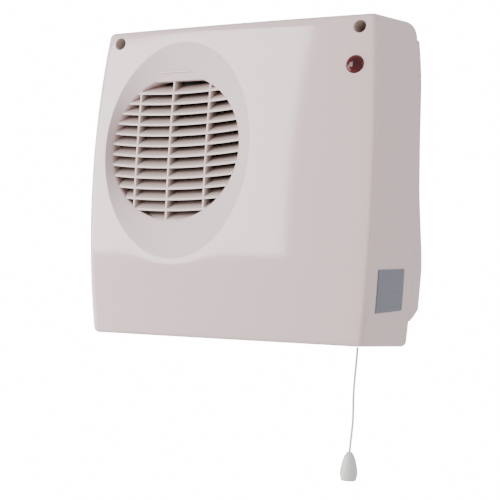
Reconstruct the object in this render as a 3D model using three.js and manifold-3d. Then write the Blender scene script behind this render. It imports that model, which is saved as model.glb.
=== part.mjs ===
// Bathroom wall fan heater with a pull cord, in millimetres.
// X points right as seen from the front, Y points at the wall and Z points up. The origin is the middle of
// the face that lies on the wall, so a place is given by x, by its depth in front of the wall and by z.
import * as THREE from 'three';
import { mergeVertices } from 'three/addons/utils/BufferGeometryUtils.js';
import Module from 'manifold-3d';

const wasm = await Module();
wasm.setup();

// ---- Driving dimensions ---------------------------------------------------------------------------------

const GAP = 0.3; // clearance between pieces that touch
const WALL = 2.5; // wall of the plastic mouldings

// Front cover
const HALF_HEIGHT = 125; // the front's middle to its top or bottom edge
const BACK_HALF_WIDTH = 119.8; // at the rear rim, in the corners
const BACK_BOW = 5.4; // how far the sides swell at mid height, at the rear rim
const FRONT_HALF_WIDTH = BACK_HALF_WIDTH - 2.7; // the sides' draft
const FRONT_BOW = 6.5;
const RIM_DEPTH = 21.5; // the cover's rear rim to the wall
const FRONT_DEPTH = 111.9; // the front's corners to the wall
const FRONT_SWELL_UP = 6.8; // swell of the front from top to bottom
const FRONT_SWELL_ACROSS = 2.5; // swell of the front from side to side
const FRONT_LEAN = 0.9; // how much nearer the wall the top edge is than mid height
const BEYOND = BACK_HALF_WIDTH + 40; // how far cuts reach, past the casing's sides and ends
const EDGE_RADIUS = 4;
const TOP_BACK_HEIGHT = 135.5; // the roof's height at the back
const TOP_SLOPE = 0.165; // the roof's fall towards the front
const TOP_BACK_RADIUS = 7;

// Dish and louvred intake
const DISH_X = -44.2;
const DISH_Z = 23;
const DISH_HALF_WIDTH = 66;
const DISH_HALF_HEIGHT = 87;
const DISH_SIDES = 40; // facets round the dish
const INTAKE_X = -48.9;
const INTAKE_Z = 25.3;
const INTAKE_RADIUS = 58.4;
const INTAKE_SIDES = 48; // facets of its rim
const INTAKE_SET = 6.2; // how far its rim and its louvres lie behind the swell of the front
const INTAKE_FLAT = 54.2; // the cap's straight edge above the intake's middle
const CAP_THICKNESS = 4;
const LOUVRE_COUNT = 12;
const LOUVRE_PITCH = 8.6;
const LOUVRE_DROP = 3.3; // the middle of the row of louvres below the intake's middle
const LOUVRE_THICKNESS = 2;
const LOUVRE_REACH = 12; // front edge to rear edge
const LOUVRE_RISE = 8;
const LOUVRE_SAG = 0.001; // how the louvres droop in the middle, per mm squared
const MULLION_X = [-83.5, -52.9, -19.4];
const MULLION_WIDTH = 1.8;
const COLLAR_BACK_DEPTH = 97; // the collar's rear edge to the wall

// Screw wells, neon and sticker
const WELL_X = FRONT_HALF_WIDTH - 12;
const WELL_Z = HALF_HEIGHT - 12.3;
const WELL_RADIUS = 4.8;
const WELL_FLOOR_DEPTH = 40;
const SCREW_RADIUS = 2;
const SCREW_HEAD_RADIUS = 3.8;
const NEON_X = FRONT_HALF_WIDTH - 13.6;
const NEON_Z = WELL_Z - 29.2;
const NEON_RADIUS = 7;
const NEON_DOME = 3.6;
const LAMP_RADIUS = 3;
const LABEL_WIDTH = 55;
const LABEL_HEIGHT = 32.5;
const LABEL_DEPTH = 69.8; // sticker's middle to the wall
const LABEL_Z = 43 - HALF_HEIGHT;
const LABEL_TILT = 4; // degrees
const LABEL_THICKNESS = 0.25;

// Rear housing
const HOUSING_TOP = HALF_HEIGHT - 2;
const HOUSING_BOTTOM = 20.5 - HALF_HEIGHT;
const TRAY_HALF_WIDTH = BACK_HALF_WIDTH - 11;
const TRAY_TOP = HOUSING_TOP - 9;
const TRAY_BOTTOM = HOUSING_BOTTOM + 6.5;
// Rear edge of the side skirt: height and depth of each point from the top down
const SKIRT_EDGE = [[HOUSING_TOP, 16], [96, 14.3], [47, 18.6], [8, 17.8], [-11, 14.6], [-31, 9], [-50, 2.8],
  [-62, 0], [-94.5, 0], [HOUSING_BOTTOM + 4.5, 8.5], [HOUSING_BOTTOM, 18.5]];
const LIP_LENGTH = 5;
const KEYHOLE_X = 70;
const KEYHOLE_Z = 84;
const KEYHOLE_HEAD_RADIUS = 4.5;
const KEYHOLE_SLOT_RADIUS = 2.3;
const KEYHOLE_RISE = 9;
const ENTRY_X = FRONT_HALF_WIDTH - 35.1;
const ENTRY_Z = 63 - HALF_HEIGHT;
const ENTRY_RADIUS = 7;

// Fan, scroll and motor
const FAN_RADIUS = 50;
const FAN_BACK_DEPTH = 52;
const FAN_WIDTH = 36;
const BLADE_COUNT = 22;
const BLADE_DEPTH = 9; // blade's inner edge to outer edge
const BLADE_THICKNESS = 1.2;
const SHEET = 1.5; // wall of the scroll and of the brackets
const SCROLL_START_RADIUS = 55;
const SCROLL_END_RADIUS = 66;
const SCROLL_BACK_DEPTH = 46; // rear face of the scroll's back plate
const SCROLL_FRONT_DEPTH = 92;
const TONGUE_TURN = 1.33 * Math.PI; // from the duct's right wall round to the tongue
const MOUTH_RISE = 3;
const EAR_RADIUS = 6;
const MOUTH_RADIUS = 44;
const DUCT_LEFT = -86;
const SHAFT_RADIUS = 2;
const ROTOR_RADIUS = 13;
const CORE_HALF_WIDTH = 27;
const CORE_HALF_HEIGHT = 24;
const CORE_FRONT_DEPTH = 36;
const CORE_BACK_DEPTH = 18;
const BUSH_RADIUS = 5.5;
const BUSH_BODY_RADIUS = 4;
const HUB_LENGTH = 12;
const LEG_DROP = 16; // the core's lower leg hangs this far below its yoke
const LEG_HEIGHT = 10;
const COIL_HALF_WIDTH = 16;
const COIL_THICKNESS = 5;
const MOTOR_SCREW_X = 21;
const MOTOR_SCREW_RADIUS = 1.8;
const HEAD_HEIGHT = 2.4; // every screw's head

// Heater and outlet
const DUCT_BOTTOM = -(HALF_HEIGHT - WALL - SHEET - 2 * GAP); // the duct stands on the grille's flange
const BOARD_THICKNESS = 1;
const HEATER_TOP = 59 - HALF_HEIGHT;
const HEATER_BOTTOM = HEATER_TOP - 34;
const RIBBON_RUNS = 12;
const RIBBON_LEVELS = 3;
const RIBBON_THICKNESS = 0.8;
const RIBBON_WIDTH = 3;
const OUTLET_BAR_COUNT = 15;
const OUTLET_BAR = 2;
const CUTOUT_RADIUS = 7.5;
const CUTOUT_DEPTH = 70;
const CUTOUT_Z = HEATER_TOP + 10;

// Switch, cord and knob
const CORD_X = FRONT_HALF_WIDTH - 17.6;
const CORD_DEPTH = 75.5;
const CORD_RADIUS = 0.9;
const SWITCH_WIDTH = 22;
const SWITCH_DEPTH = 26;
const SWITCH_TOP = 59 - HALF_HEIGHT;
const SWITCH_BOTTOM = SWITCH_TOP - 42;
const SPRING_RADIUS = 5;
const SPRING_WIRE = 0.6;
const SPRING_TURNS = 6;
const GUIDE_RADIUS = 4.5;
const GUIDE_BOTTOM = -HALF_HEIGHT - 0.5;
const CORD_CLEARANCE = 0.4;
const CORD_SEAM = 0.1; // how far the free cord starts below the stretch above it, past the usual gap
const CORD_STEPS = 24;
const SWITCH_FLOOR = 4;
const SLIDER_HEIGHT = 3;
const BRACKET_FOOT = 14;
const BRACKET_HALF_WIDTH = 7.5;
const BRACKET_SCREW_END = 0.8;
const TAB_HEIGHT = 8;
// Centre line of the free cord as offsets from its exit, right, forward and up, chosen by eye along its hang
const CORD_HANG = [[0, 0, 0], [-0.1, 0, -4.8], [-0.3, 0, -9.8], [-0.6, 0, -14.8], [-0.9, 0.1, -19.8],
  [-1.2, 0.1, -24.8], [-1.4, 0.1, -29.8], [-1.5, 0.2, -34.8], [-1.5, 0.2, -39.8], [-1.4, 0.1, -44.8],
  [-1.3, 0.1, -49.8], [-1.3, 0, -54.8], [-1.5, 0, -59.8], [-1.9, -0.1, -64.8], [-2.3, -0.1, -69.8],
  [-2.6, -0.1, -73.8], [-2.9, -0.1, -77.8], [-3, -0.1, -79.3]];
const KNOB_HEIGHT = 21.5;
const KNOB_RADIUS = 6.75;
const KNOB_TOP_RADIUS = 2.6;
const KNOB_BASE_RADIUS = 5.6;

// Terminal block and cable
const TERMINAL_X = ENTRY_X - 4;
const TERMINAL_Z = ENTRY_Z + 44;
const TERMINAL_PITCH = 10;
const TERMINAL_COUNT = 3;
const TERMINAL_WIDTH = 20;
const TERMINAL_HEIGHT = 16;
const WIRE_RADIUS = 1.3;
const WIRE_REACH = 7; // where a wire ends inside the terminal block, from its middle
const WIRE_DEPTH = 10; // the wires' holes in the terminal block to the wall
const CLAMP_HALF_WIDTH = 12;
const CLAMP_DROP = 18;
const CLAMP_SEAT = 10;
const CABLE_RADIUS = 4.5;

// ---- Materials ------------------------------------------------------------------------------------------

const finish = (color, roughness, metalness = 0) => new THREE.MeshStandardMaterial({ color, roughness,
  metalness });
const ivory = finish(0xd9d2d0, 0.25);
const white = finish(0xe2dfdc, 0.4);
const black = finish(0x26262a, 0.5);
const steel = finish(0xb4b6ba, 0.35, 1);
const laminated = finish(0x6f7075, 0.5, 0.9);
const copper = finish(0xb06a3c, 0.35, 1);
const brass = finish(0xc9a550, 0.3, 1);
const mica = finish(0xb9ad8c, 0.6);
const nichrome = finish(0x8c8378, 0.4, 1);
const ruby = finish(0x8c1420, 0.1);
const glass = finish(0xf0d8c8, 0.05);
const silver = finish(0x8a8e9a, 0.35, 0.3);
const rubber = finish(0x2a2a2c, 0.8);
const cordWhite = finish(0xe6e6e4, 0.7);
const brown = finish(0x6b3a22, 0.5);
const blue = finish(0x2a5ba8, 0.5);

// ---- Making and joining solids --------------------------------------------------------------------------

// Six times the volume inside a closed surface, less than nothing where its faces point in.
function windingOf(places, corners) {
  const [a, b, c] = [0, 1, 2].map(() => new THREE.Vector3());
  let total = 0;
  for (let i = 0; i < corners.length; i += 3) {
    [a, b, c].forEach((point, k) => point.fromBufferAttribute(places, corners[i + k]));
    total += a.dot(b.cross(c));
  }
  return total;
}

// A closed geometry as a solid that can be cut and joined, with its faces pointing out.
function solid(geometry) {
  const bare = new THREE.BufferGeometry();
  bare.setAttribute('position', geometry.getAttribute('position').clone());
  if (geometry.index) bare.setIndex(geometry.index.clone());
  const merged = mergeVertices(bare, 1e-4);
  const corners = merged.index.array;
  const kept = [];
  for (let i = 0; i < corners.length; i += 3) {
    const [a, b, c] = [corners[i], corners[i + 1], corners[i + 2]];
    if (a !== b && b !== c && c !== a) kept.push(a, b, c);
  }
  if (windingOf(merged.getAttribute('position'), kept) < 0) kept.reverse();
  const vertProperties = new Float32Array(merged.getAttribute('position').array);
  return new wasm.Manifold(new wasm.Mesh({ numProp: 3, vertProperties, triVerts: new Uint32Array(kept) }));
}

// A solid as a named mesh.
function piece(name, whole, material) {
  const { vertProperties, triVerts } = whole.getMesh();
  const geometry = new THREE.BufferGeometry();
  geometry.setAttribute('position', new THREE.BufferAttribute(new Float32Array(vertProperties), 3));
  geometry.setIndex(new THREE.BufferAttribute(new Uint32Array(triVerts), 1));
  geometry.computeVertexNormals();
  const mesh = new THREE.Mesh(geometry, material);
  mesh.name = name;
  return mesh;
}

// Like pieces, numbered from 1.
const pieces = (name, wholes, material) => wholes.map((whole, k) => piece(`${name}_${k + 1}`, whole, material));

const join = (first, ...others) => others.reduce((whole, other) => whole.add(other), first);
const cut = (first, ...others) => others.reduce((whole, other) => whole.subtract(other), first);

// A box between two values of x, of depth and of z.
function block([x0, x1], [near, far], [z0, z1]) {
  const box = new THREE.BoxGeometry(x1 - x0, far - near, z1 - z0);
  return solid(box.translate((x0 + x1) / 2, -(near + far) / 2, (z0 + z1) / 2));
}

// An outline given in x and z, drawn out from one depth to another.
function slab(shape, near, far, curveSegments = 12) {
  const geometry = new THREE.ExtrudeGeometry(shape, { depth: far - near, bevelEnabled: false,
    curveSegments });
  return solid(geometry.translate(0, 0, near).rotateX(Math.PI / 2));
}

// An outline given in depth and z, drawn out from one x to another.
function beam(shape, x0, x1) {
  const geometry = new THREE.ExtrudeGeometry(shape, { depth: x1 - x0, bevelEnabled: false });
  const turn = new THREE.Matrix4().makeBasis(
    new THREE.Vector3(0, -1, 0), new THREE.Vector3(0, 0, 1), new THREE.Vector3(-1, 0, 0));
  return solid(geometry.translate(0, 0, -x1).applyMatrix4(turn));
}

// Round bars along the depth, along x and along z.
function rodIn(x, z, radius, near, far, sides = 24, farRadius = radius) {
  const rod = new THREE.CylinderGeometry(radius, farRadius, far - near, sides);
  return solid(rod.translate(x, -(near + far) / 2, z));
}
function rodAcross(depth, z, radius, x0, x1, sides = 24) {
  const rod = new THREE.CylinderGeometry(radius, radius, x1 - x0, sides);
  return solid(rod.rotateZ(Math.PI / 2).translate((x0 + x1) / 2, -depth, z));
}
function rodUp(x, depth, radius, z0, z1, sides = 24) {
  const rod = new THREE.CylinderGeometry(radius, radius, z1 - z0, sides);
  return solid(rod.rotateX(Math.PI / 2).translate(x, -depth, (z0 + z1) / 2));
}

// A ring-shaped wall between two radii, along the depth.
const pipeIn = (x, z, outer, inner, near, far, sides = 40) =>
  cut(rodIn(x, z, outer, near, far, sides), rodIn(x, z, inner, near - 1, far + 1, sides));

const shapeOf = (points) => new THREE.Shape(points.map(([a, b]) => new THREE.Vector2(a, b)));

const rectangle = (x0, x1, z0, z1) => shapeOf([[x0, z0], [x1, z0], [x1, z1], [x0, z1]]);

// A round wire or cord along points given as x, depth and z.
function tube(points, radius, steps, sides = 8) {
  const path = new THREE.CatmullRomCurve3(points.map(([x, depth, z]) => new THREE.Vector3(x, -depth, z)));
  const ring = shapeOf(Array.from({ length: sides }, (_, k) => {
    const turn = (k / sides) * 2 * Math.PI;
    return [radius * Math.cos(turn), radius * Math.sin(turn)];
  }));
  return solid(new THREE.ExtrudeGeometry(ring, { steps, extrudePath: path, bevelEnabled: false }));
}

// ---- The casing's form ----------------------------------------------------------------------------------

const bow = (z) => 1 - (z / HALF_HEIGHT) ** 2;

// How far in front of the wall the front's outer face is.
const frontFace = (x, z) => FRONT_DEPTH + FRONT_SWELL_UP * bow(z) - (FRONT_LEAN * z) / HALF_HEIGHT
  + FRONT_SWELL_ACROSS * (1 - (x / FRONT_HALF_WIDTH) ** 2);

// Half the casing's width at a height, at the rear rim and anywhere ahead of it.
const rimHalfWidth = (z) => BACK_HALF_WIDTH + BACK_BOW * bow(z);
function halfWidthAt(depth, z) {
  const share = (depth - RIM_DEPTH) / (FRONT_DEPTH - RIM_DEPTH);
  return THREE.MathUtils.lerp(rimHalfWidth(z), FRONT_HALF_WIDTH + FRONT_BOW * bow(z), share);
}

// The roof's height at a depth.
const roof = (depth) => TOP_BACK_HEIGHT - TOP_SLOPE * Math.max(0, depth - RIM_DEPTH - 2 * TOP_BACK_RADIUS);

// Steps along a span from 0, even over its middle and finer over the rounded end, or over both ends.
function stations(span, radius, middleSteps, endSteps, bothEnds) {
  const start = bothEnds ? radius : 0;
  const ends = Array.from({ length: endSteps }, (_, k) => (k / endSteps) * radius);
  const middle = Array.from({ length: middleSteps + 1 }, (_, k) =>
    THREE.MathUtils.lerp(start, span - radius, k / middleSteps));
  return [...(bothEnds ? ends : []), ...middle, ...ends.map((step) => span - step).reverse()];
}

// The casing's form, drawn in by a wall, from a depth to the front. A finely divided box gets rounded
// edges and is then bent to the swell of the front, the bow of the sides and the slope of the roof.
function caseForm(wall, startDepth) {
  const radius = EDGE_RADIUS - wall / 2;
  const length = FRONT_DEPTH - startDepth - wall;
  const endSteps = wall > 0 ? 2 : 3;
  const across = stations(2 * BACK_HALF_WIDTH, radius, wall > 0 ? 4 : 8, endSteps, true);
  const ahead = stations(length, radius, 2, endSteps, false);
  const up = stations(2 * HALF_HEIGHT, radius, wall > 0 ? 8 : 10, endSteps, true);
  const [nx, ny, nz] = [across, ahead, up].map((list) => list.length - 1);
  const box = new THREE.BoxGeometry(nx, ny, nz, nx, ny, nz);
  const places = box.getAttribute('position');
  for (let i = 0; i < places.count; i++) {
    const x = across[Math.round(places.getX(i) + nx / 2)] - BACK_HALF_WIDTH;
    const y = ahead[Math.round(ny / 2 - places.getY(i))];
    const z = up[Math.round(places.getZ(i) + nz / 2)] - HALF_HEIGHT;
    const middle = new THREE.Vector3(THREE.MathUtils.clamp(x, radius - BACK_HALF_WIDTH,
      BACK_HALF_WIDTH - radius),
      Math.min(y, length - radius), THREE.MathUtils.clamp(z, radius - HALF_HEIGHT, HALF_HEIGHT - radius));
    const out = new THREE.Vector3(x, y, z).sub(middle);
    out.setLength(Math.max(Math.abs(out.x), Math.abs(out.y), Math.abs(out.z)));
    places.setXYZ(i, ...bent(middle.add(out), wall, startDepth, length));
  }
  return solid(box);
}

// Bends one point of the rounded box to the casing's real form.
function bent(point, wall, startDepth, length) {
  const height = point.z / HALF_HEIGHT;
  const level = THREE.MathUtils.lerp(startDepth, FRONT_DEPTH, point.y / length);
  const top = roof(level) - wall;
  const bottom = -HALF_HEIGHT + wall;
  const z = height > 0 ? height * top : -height * bottom;
  const x = (point.x / BACK_HALF_WIDTH) * (halfWidthAt(level, z) - wall);
  const depth = startDepth + (point.y / length) * (frontFace(x, z) - wall - startDepth);
  return [x, -depth, z];
}

// The roof's rounded rear edge, as the material outside it.
function outsideTopBack(wall) {
  const radius = TOP_BACK_RADIUS - wall;
  const corner = new THREE.Shape();
  const high = TOP_BACK_HEIGHT - wall;
  corner.moveTo(RIM_DEPTH + TOP_BACK_RADIUS, high + 5);
  corner.lineTo(RIM_DEPTH - 20, high + 5);
  corner.lineTo(RIM_DEPTH - 20, high - radius);
  corner.lineTo(RIM_DEPTH + wall, high - radius);
  corner.absarc(RIM_DEPTH + TOP_BACK_RADIUS, high - radius, radius, Math.PI, Math.PI / 2, true);
  return beam(corner, -BEYOND, BEYOND);
}

// ---- Front cover ----------------------------------------------------------------------------------------

// How far the dish's edge lies from the intake's middle, in a direction across the front.
function dishReach(across, up) {
  const [p, q] = [(INTAKE_X - DISH_X) / DISH_HALF_WIDTH, (INTAKE_Z - DISH_Z) / DISH_HALF_HEIGHT];
  const [u, v] = [across / DISH_HALF_WIDTH, up / DISH_HALF_HEIGHT];
  const [square, along] = [u * u + v * v, p * u + q * v];
  return (Math.sqrt(along ** 2 - square * (p * p + q * q - 1)) - along) / square;
}

// What is cut away in front of the dish. Its rings are numbered from the intake's middle at 0, over its rim
// at 1, to the dish's edge at 2 and a little past it. The floor rises evenly from the rim to the edge.
function dishScoop(wall) {
  const last = 2.1;
  const outline = [[0, 0], [1, 0], [1.5, 0], [2, 0], [last, 0], [last, 1], [0, 1]];
  const lathe = new THREE.LatheGeometry(outline.map(([ring, level]) => new THREE.Vector2(ring, level)),
    DISH_SIDES);
  const places = lathe.getAttribute('position');
  for (let i = 0; i < places.count; i++) {
    const [a, level, b] = [places.getX(i), places.getY(i), places.getZ(i)];
    const ring = Math.hypot(a, b);
    const [across, up] = ring > 0 ? [a / ring, -b / ring] : [1, 0];
    const out = ring > 1 ? THREE.MathUtils.lerp(INTAKE_RADIUS, dishReach(across, up), ring - 1)
      : ring * INTAKE_RADIUS;
    const [x, z] = [INTAKE_X + across * out, INTAKE_Z + up * out];
    const floor = frontFace(x, z) - INTAKE_SET * Math.min(1, 2 - ring) - wall;
    places.setXYZ(i, x, -(level > 0.5 ? FRONT_DEPTH + 30 : floor), z);
  }
  return solid(lathe);
}

// How deep the louvred face lies at a place.
const louvreFace = (x, z) => frontFace(x, z) - INTAKE_SET;

// One louvre: a sloping bar, low at the front, that droops in the middle and follows the swelling face.
function louvre(z0) {
  const box = new THREE.BoxGeometry(2 * INTAKE_RADIUS + 4, LOUVRE_REACH, LOUVRE_THICKNESS, 8, 1, 1);
  const places = box.getAttribute('position');
  for (let i = 0; i < places.count; i++) {
    const back = places.getY(i) / LOUVRE_REACH + 0.5;
    const x = INTAKE_X + places.getX(i);
    const z = z0 + places.getZ(i) + LOUVRE_SAG * places.getX(i) ** 2 + back * LOUVRE_RISE;
    places.setXYZ(i, x, back * LOUVRE_REACH - louvreFace(x, z0), z);
  }
  return solid(box);
}

// An upright bar that follows the swelling face.
function mullion(x0) {
  const box = new THREE.BoxGeometry(MULLION_WIDTH, LOUVRE_REACH, 2 * INTAKE_RADIUS + 4, 1, 1, 6);
  const places = box.getAttribute('position');
  for (let i = 0; i < places.count; i++) {
    const z = INTAKE_Z + places.getZ(i);
    places.setXYZ(i, x0 + places.getX(i), places.getY(i) + LOUVRE_REACH / 2 - louvreFace(x0, z), z);
  }
  return solid(box);
}

// The louvres and mullions inside the intake, and the cap that closes the top of it with a straight edge.
function louvres() {
  const capBack = louvreFace(INTAKE_X, INTAKE_Z + INTAKE_RADIUS) - CAP_THICKNESS;
  const cap = block([-BEYOND, BEYOND], [capBack, FRONT_DEPTH + 2], [INTAKE_Z + INTAKE_FLAT, BEYOND]);
  const bars = [cut(cap, dishScoop(0)), ...MULLION_X.map(mullion)];
  for (let k = 0; k < LOUVRE_COUNT; k++) {
    bars.push(louvre(INTAKE_Z - LOUVRE_DROP + (k - (LOUVRE_COUNT - 1) / 2) * LOUVRE_PITCH));
  }
  return join(...bars).intersect(rodIn(INTAKE_X, INTAKE_Z, INTAKE_RADIUS + 1, RIM_DEPTH, FRONT_DEPTH + 20,
    INTAKE_SIDES));
}

// The outlet opening in the bottom of the cover, seen from below.
const outletSpan = () => [[DUCT_LEFT - SHEET, scrollRight() + SHEET],
  [SCROLL_BACK_DEPTH, SCROLL_FRONT_DEPTH]];

function frontCover() {
  const outer = cut(caseForm(0, RIM_DEPTH), outsideTopBack(0));
  const hollow = cut(caseForm(WALL, RIM_DEPTH - 1), outsideTopBack(WALL), dishScoop(WALL));
  const collar = pipeIn(INTAKE_X, INTAKE_Z, INTAKE_RADIUS + WALL, INTAKE_RADIUS, COLLAR_BACK_DEPTH,
    FRONT_DEPTH + 2, INTAKE_SIDES);
  let cover = cut(join(cut(outer, hollow), collar), dishScoop(0));
  cover = cut(cover, rodIn(INTAKE_X, INTAKE_Z, INTAKE_RADIUS, RIM_DEPTH, FRONT_DEPTH + 20, INTAKE_SIDES));
  cover = join(cover, louvres());
  for (const x of [-WELL_X, WELL_X]) {
    const well = rodIn(x, WELL_Z, WELL_RADIUS + WALL - 0.5, WELL_FLOOR_DEPTH - WALL, FRONT_DEPTH, 20);
    cover = join(cover, well.intersect(caseForm(0, RIM_DEPTH)));
    cover = cut(cover, rodIn(x, WELL_Z, WELL_RADIUS, WELL_FLOOR_DEPTH, FRONT_DEPTH + 20, 20),
      rodIn(x, WELL_Z, SCREW_RADIUS + GAP, RIM_DEPTH, WELL_FLOOR_DEPTH + 1, 16));
  }
  const [[left, right], [near, far]] = outletSpan();
  return cut(cover, neonHole(),
    block([left, right], [near, far], [-HALF_HEIGHT - 5, -HALF_HEIGHT + WALL + 1]),
    rodUp(CORD_X, CORD_DEPTH, GUIDE_RADIUS, -HALF_HEIGHT - 5, -HALF_HEIGHT + 5, 20));
}

// ---- Rear housing ---------------------------------------------------------------------------------------

// The casing's outline between two heights, drawn in by a margin.
function caseOutline(margin, low, high) {
  const steps = 12;
  const side = Array.from({ length: steps + 1 }, (_, k) => {
    const z = low + ((high - low) * k) / steps;
    return [rimHalfWidth(z) - margin, z];
  });
  return shapeOf([...side, ...side.map(([x, z]) => [-x, z]).reverse()]);
}

// What lies behind the skirt's wavy rear edge.
function behindSkirt() {
  const edge = SKIRT_EDGE.map(([z, depth]) => new THREE.Vector2(depth, z));
  const [first, last] = [edge[0], edge[edge.length - 1]];
  const wave = new THREE.SplineCurve(edge.slice(0, 8)).getPoints(21);
  const points = [...wave, ...edge.slice(8)];
  const behind = [[first.x, first.y + 5], ...points.map((p) => [p.x, p.y]), [last.x, last.y - 5],
    [-5, last.y - 5], [-5, first.y + 5]];
  return beam(shapeOf(behind), -BEYOND, BEYOND);
}

function keyhole(x) {
  const slot = block([x - KEYHOLE_SLOT_RADIUS, x + KEYHOLE_SLOT_RADIUS], [-1, WALL + 1],
    [KEYHOLE_Z, KEYHOLE_Z + KEYHOLE_RISE]);
  return join(rodIn(x, KEYHOLE_Z, KEYHOLE_HEAD_RADIUS, -1, WALL + 1), slot,
    rodIn(x, KEYHOLE_Z + KEYHOLE_RISE, KEYHOLE_SLOT_RADIUS, -1, WALL + 1, 16));
}

// Pillars that carry the scroll's back plate.
const pillarPlaces = () => [[INTAKE_X - 46, INTAKE_Z + 50], [INTAKE_X + 50, INTAKE_Z + 52],
  [DUCT_LEFT - 10, HEATER_TOP - 22], [scrollRight() + 10, HEATER_TOP - 22]];

function rearHousing() {
  const flange = slab(caseOutline(0, HOUSING_BOTTOM, HOUSING_TOP), 0, RIM_DEPTH - GAP);
  const skirtInside = slab(caseOutline(WALL, HOUSING_BOTTOM + WALL, HOUSING_TOP - WALL), -1,
    RIM_DEPTH - GAP - WALL);
  const tray = slab(rectangle(-TRAY_HALF_WIDTH, TRAY_HALF_WIDTH, TRAY_BOTTOM, TRAY_TOP), 0, RIM_DEPTH - GAP);
  const inside = slab(rectangle(WALL - TRAY_HALF_WIDTH, TRAY_HALF_WIDTH - WALL, TRAY_BOTTOM + WALL,
    TRAY_TOP - WALL), WALL, RIM_DEPTH + 20);
  const lipEnd = RIM_DEPTH + LIP_LENGTH;
  const belowTop = block([-BEYOND, BEYOND], [0, 60], [-BEYOND, TOP_BACK_HEIGHT - TOP_BACK_RADIUS - GAP]);
  const lipInside = cut(caseForm(2 * WALL, RIM_DEPTH - LIP_LENGTH),
    block([-BEYOND, BEYOND], [0, RIM_DEPTH + WALL], [-BEYOND, BEYOND]));
  const lip = cut(caseForm(WALL + GAP, RIM_DEPTH - GAP - 0.01).intersect(belowTop),
    block([-BEYOND, BEYOND], [lipEnd, BEYOND], [-BEYOND, BEYOND]), lipInside);
  let housing = join(cut(flange, skirtInside, behindSkirt()), tray, lip);
  housing = cut(housing, inside);
  for (const [x, z] of clampPlaces()) {
    housing = cut(join(housing, rodIn(x, z, 4, WALL / 2, CLAMP_SEAT, 16)),
      rodIn(x, z, 1.5 + GAP, CLAMP_SEAT - 4, CLAMP_SEAT + 1, 12));
  }
  for (const [x, z] of pillarPlaces()) {
    housing = join(housing, rodIn(x, z, 5, WALL / 2, SCROLL_BACK_DEPTH - GAP, 16));
    housing = cut(housing, rodIn(x, z, SCREW_RADIUS + GAP, SCROLL_BACK_DEPTH - 12, SCROLL_BACK_DEPTH, 12));
  }
  for (const x of [-WELL_X, WELL_X]) {
    const foot = rodIn(x, WELL_Z, 5.5, RIM_DEPTH - WALL, WELL_FLOOR_DEPTH - WALL - GAP, 16);
    housing = cut(join(housing, foot),
      rodIn(x, WELL_Z, SCREW_RADIUS + GAP, RIM_DEPTH, WELL_FLOOR_DEPTH, 16));
  }
  return cut(housing, keyhole(-KEYHOLE_X), keyhole(KEYHOLE_X),
    rodIn(...bracketScrewPlace(), SCREW_RADIUS + GAP, BRACKET_SCREW_END - GAP, WALL + 1, 12),
    rodIn(ENTRY_X, ENTRY_Z, ENTRY_RADIUS, -1, WALL + 1));
}

// ---- Scroll and its back plate --------------------------------------------------------------------------

const scrollRight = () => INTAKE_X + SCROLL_END_RADIUS;

// The scroll's outline: up the duct's right wall, round the spiral to its tongue and down the left wall.
function scrollShape(margin) {
  const steps = 18;
  const points = [[scrollRight() + margin, DUCT_BOTTOM]];
  for (let k = 0; k <= steps; k++) {
    const radius = THREE.MathUtils.lerp(SCROLL_END_RADIUS, SCROLL_START_RADIUS, k / steps) + margin;
    const turn = (k / steps) * TONGUE_TURN;
    points.push([INTAKE_X + radius * Math.cos(turn), INTAKE_Z + radius * Math.sin(turn)]);
  }
  points.push([DUCT_LEFT - margin, INTAKE_Z - SCROLL_END_RADIUS], [DUCT_LEFT - margin, DUCT_BOTTOM]);
  return shapeOf(points);
}

// A plate over the scroll's outline with an ear at each pillar.
function earedPlate(near, far) {
  const ears = pillarPlaces().map(([x, z]) => {
    const inward = new THREE.Vector2(THREE.MathUtils.clamp(x, DUCT_LEFT, scrollRight()) - x,
      x < DUCT_LEFT || z < DUCT_LEFT ? 0 : INTAKE_Z - z).setLength(EAR_RADIUS * 2);
    const arm = new THREE.Vector2(-inward.y, inward.x).setLength(EAR_RADIUS);
    const bar = shapeOf([[x + arm.x, z + arm.y], [x - arm.x, z - arm.y],
      [x - arm.x + inward.x, z - arm.y + inward.y], [x + arm.x + inward.x, z + arm.y + inward.y]]);
    return join(slab(bar, near, far), rodIn(x, z, EAR_RADIUS, near, far, 16));
  });
  const plate = join(slab(scrollShape(SHEET), near, far), ...ears);
  return cut(plate, ...pillarPlaces().map(([x, z]) => rodIn(x, z, SCREW_RADIUS + GAP, near - 1, far + 1,
    12)));
}

function scrollHousing() {
  const back = SCROLL_BACK_DEPTH + SHEET + GAP;
  const walls = cut(slab(scrollShape(SHEET), back, SCROLL_FRONT_DEPTH),
    slab(scrollShape(0), back - 1, SCROLL_FRONT_DEPTH - SHEET));
  const flange = cut(earedPlate(back, back + SHEET), slab(scrollShape(0), back - 1, back + 2 * SHEET));
  const mouth = pipeIn(INTAKE_X, INTAKE_Z, MOUTH_RADIUS + SHEET, MOUTH_RADIUS, SCROLL_FRONT_DEPTH - SHEET,
    SCROLL_FRONT_DEPTH + MOUTH_RISE, 32);
  const bore = rodIn(INTAKE_X, INTAKE_Z, MOUTH_RADIUS, SCROLL_FRONT_DEPTH - 2 * SHEET,
    SCROLL_FRONT_DEPTH + SHEET, 32);
  return join(cut(join(walls, flange), bore), mouth);
}

const motorScrewPlaces = () => [-1, 1].map((side) => [INTAKE_X + side * MOTOR_SCREW_X, INTAKE_Z]);

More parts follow.
